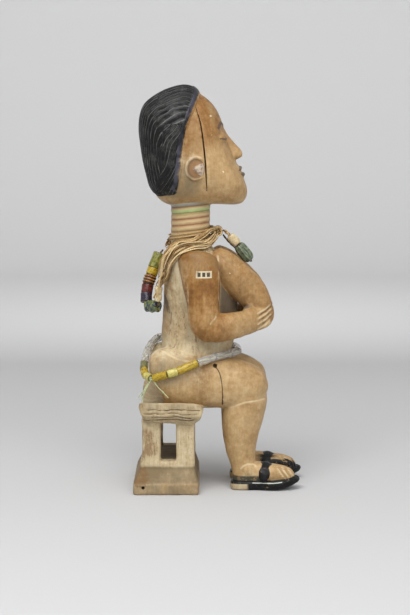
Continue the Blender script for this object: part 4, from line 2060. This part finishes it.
# %% Routes of the bundles
NEAR_END = (-25.5, 59, 203)
FAR_END = (15, 54, 237)
BUNDLES = [
    [(-4, 1.5, 257), (-13, 10.5, 256), (-20, 17, 251.5), (-28, 26, 246.5), (-28.5, 39, 245.5),
     (-26.5, 49, 238.5), (-24.5, 54.5, 226), (-24, 56.5, 214), NEAR_END],
    [(-4, 1, 254.5), (-18.5, 9.5, 246), (-29.5, 15, 244), (-36.5, 25, 243), (-37.5, 39, 240), (-33, 50, 230),
     (-28.5, 53, 216), NEAR_END],
    [(-4, 1, 252), (-19, 7.5, 244), (-33.5, 15.5, 241.5), (-43, 26, 241), (-43, 38.5, 235.5),
     (-39, 47.5, 225), (-32, 51.5, 213), NEAR_END],
    [(4, 1.5, 257), (13, 10.5, 256), (20, 17.5, 251.5), (28, 27, 248.5), (25.5, 41.5, 245.5),
     (20.5, 50, 242.5), FAR_END],
    [(4, 1, 253.5), (18.5, 9.5, 245.5), (30, 17, 244.5), (36.5, 30, 244), (32, 45, 241), (22.5, 51, 238.5),
     FAR_END],
]
LOOSE_TAIL = [(-30, 50, 218), (-27.5, 56.5, 208), (-25.5, 61, 198), (-23.5, 62.5, 188)]
PENDANT_LEAD = [(-6.5, -3.5, 256), (-6.2, -7, 254), (-6, -9.5, 251.6), (-5.8, -12, 248.6)]
BROAD_LEAF = [(-31, 40, 245), (-35.5, 46, 238), (-34, 51, 229), (-30, 54, 220)]
print("longest bundle:", round(max(map(path_length, BUNDLES))), "mm")


# %% Strips along bundles
STRIP_HALF = np.array((0.95, 0.6))
STRIP_STEP = 1.6
STRIP_SIDES = 8


def lifted(path, wood, clearance):
    """The path, with every point in the wood or closer than the clearance moved out along the normal."""
    found = [wood.find_nearest(Vector(point) * MM) for point in path]
    foot = np.array([hit[0] for hit in found]) / MM
    normal = np.array([hit[1] for hit in found])
    above = ((path - foot) * normal).sum(axis=1)
    return np.where((above < clearance)[:, None], foot + normal * clearance, path)


def strip_body(path, size, draw):
    """Flat strip: an oval section whose broad side slowly turns, narrowing at both ends."""
    turn = circle(STRIP_SIDES)[None]
    place = np.linspace(0, 1, len(path))[:, None]
    taper = 0.45 + 0.55 * np.minimum(1, 8 * np.minimum(place, 1 - place))
    roll = draw.uniform(0, math.pi) + place * draw.uniform(-4, 4)
    half = STRIP_HALF * size
    a, b = half[0] * taper * np.cos(turn), half[1] * taper * np.sin(turn)
    section = np.stack([a * np.cos(roll) - b * np.sin(roll), a * np.sin(roll) + b * np.cos(roll)], axis=-1)
    return tube_body(path, section)


def bundle_strips(route, count, spread, wood, draw):
    """Strips round one route, each with its own ends and its own slowly turning angle."""
    made = []
    base = even_path(route, STRIP_STEP)
    side, up = carried_frames(base)
    place = np.linspace(0, 1, len(base))
    for k in range(count):
        start, end = sorted(draw.uniform(0, 1, 2) * (0.08, 0.1) * (1, -1) + (0, 1))
        angle = 2 * math.pi * k / count + draw.normal() * 0.3 + place * draw.uniform(-5, 5)
        away = spread * draw.uniform(0.4, 1.15) * (0.75 + 0.35 * np.sin(place * draw.uniform(6, 14) + k))
        path = base + (away * np.cos(angle))[:, None] * side + (away * np.sin(angle))[:, None] * up
        path = path[(place >= start) & (place <= end)]
        made.append(strip_body(lifted(path, wood, 0.7), draw.uniform(0.6, 1.25), draw))
    return made


print("breadth of a strip:", 2 * STRIP_HALF[0], "mm")


# %% Windings and the knot at the throat
def windings(wood, draw, turns=6):
    """Thin strips wound round the foot of the neck, a helix of a little more than its radius."""
    made = []
    for level in range(turns):
        turn = np.linspace(0, 2 * math.pi + 0.4, 90) + draw.uniform(0, 6)
        rise = 240.5 + 2.7 * level + 1.1 * np.sin(turn + draw.uniform(0, 6))
        radius = NECK_RADIUS + 2.5 + 0.4 * np.sin(3 * turn)
        path = np.stack([radius * np.cos(turn), NECK_AXIS + radius * np.sin(turn),
                         rise - RING_RISE * radius * np.sin(turn)], axis=1)
        made.append(strip_body(lifted(path, wood, 0.6), 0.9, draw))
    return made


def throat_knot(draw):
    """Strips wound slantwise round a core of straight ones in front of the throat."""
    made = []
    middle = np.array((0.5, 1.0, 254.6))
    for k in range(7):
        turn = np.linspace(0, 2 * math.pi * 1.4, 46) + k
        ring = np.stack([-6 + 2 * k + 2.4 * np.sin(turn + k), 3.7 * np.cos(turn), 4.0 * np.sin(turn)], axis=1)
        made.append(strip_body(middle + ring, 1.15, draw))
    along = np.linspace(-8, 8, 12)
    for angle in circle(7):
        for out in (0.9, 2.4):
            core = np.stack([along, out * np.cos(angle + along / 9), out * np.sin(angle + along / 9)], axis=1)
            made.append(strip_body(middle + core, 1.2, draw))
    return made


wood_surface = BVHTree.FromObject(carving, bpy.context.evaluated_depsgraph_get())
draw = np.random.default_rng(4)
strips = [strip for route in BUNDLES for strip in bundle_strips(route, 13, 3.3, wood_surface, draw)]
strips += bundle_strips(LOOSE_TAIL, 7, 3.0, wood_surface, draw)
strips += bundle_strips(PENDANT_LEAD, 5, 1.3, wood_surface, draw)
strips += windings(wood_surface, draw) + throat_knot(draw)
leaf = lifted(even_path(BROAD_LEAF, STRIP_STEP), wood_surface, 2.4)
strips.append(tube_body(leaf, string_section(leaf, 1.0, sides=10) * (2.6, 0.6)))
print("strips in the hank:", len(strips))


# %% Hank of strips
hank = mesh_object("hank_of_leaf_strips", *merged(strips))
strip_tone = np.append(draw.uniform(0, 0.62, len(strips) - 1), 0.7)
tones = np.repeat(strip_tone, [len(strip[0]) for strip in strips]).astype(np.float32)
hank.data.attributes.new("strip_tone", "FLOAT", "POINT").data.foreach_set("value", tones)
hank.data.materials.append(straw)
stand_for(hank, "neck_fibre")
print("triangles in the hank:", triangle_count(hank.data))


# %% [markdown]
# ## Hand the carving over
#
# The carving takes the place of the frame's plain body last, when everything that lies on its surface is
# made. The corners of the frame's box and of the finished figure's are written down in metres, to compare
# the two.

# %% Hand the carving over
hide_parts("seated_figure")
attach(carving, "root")
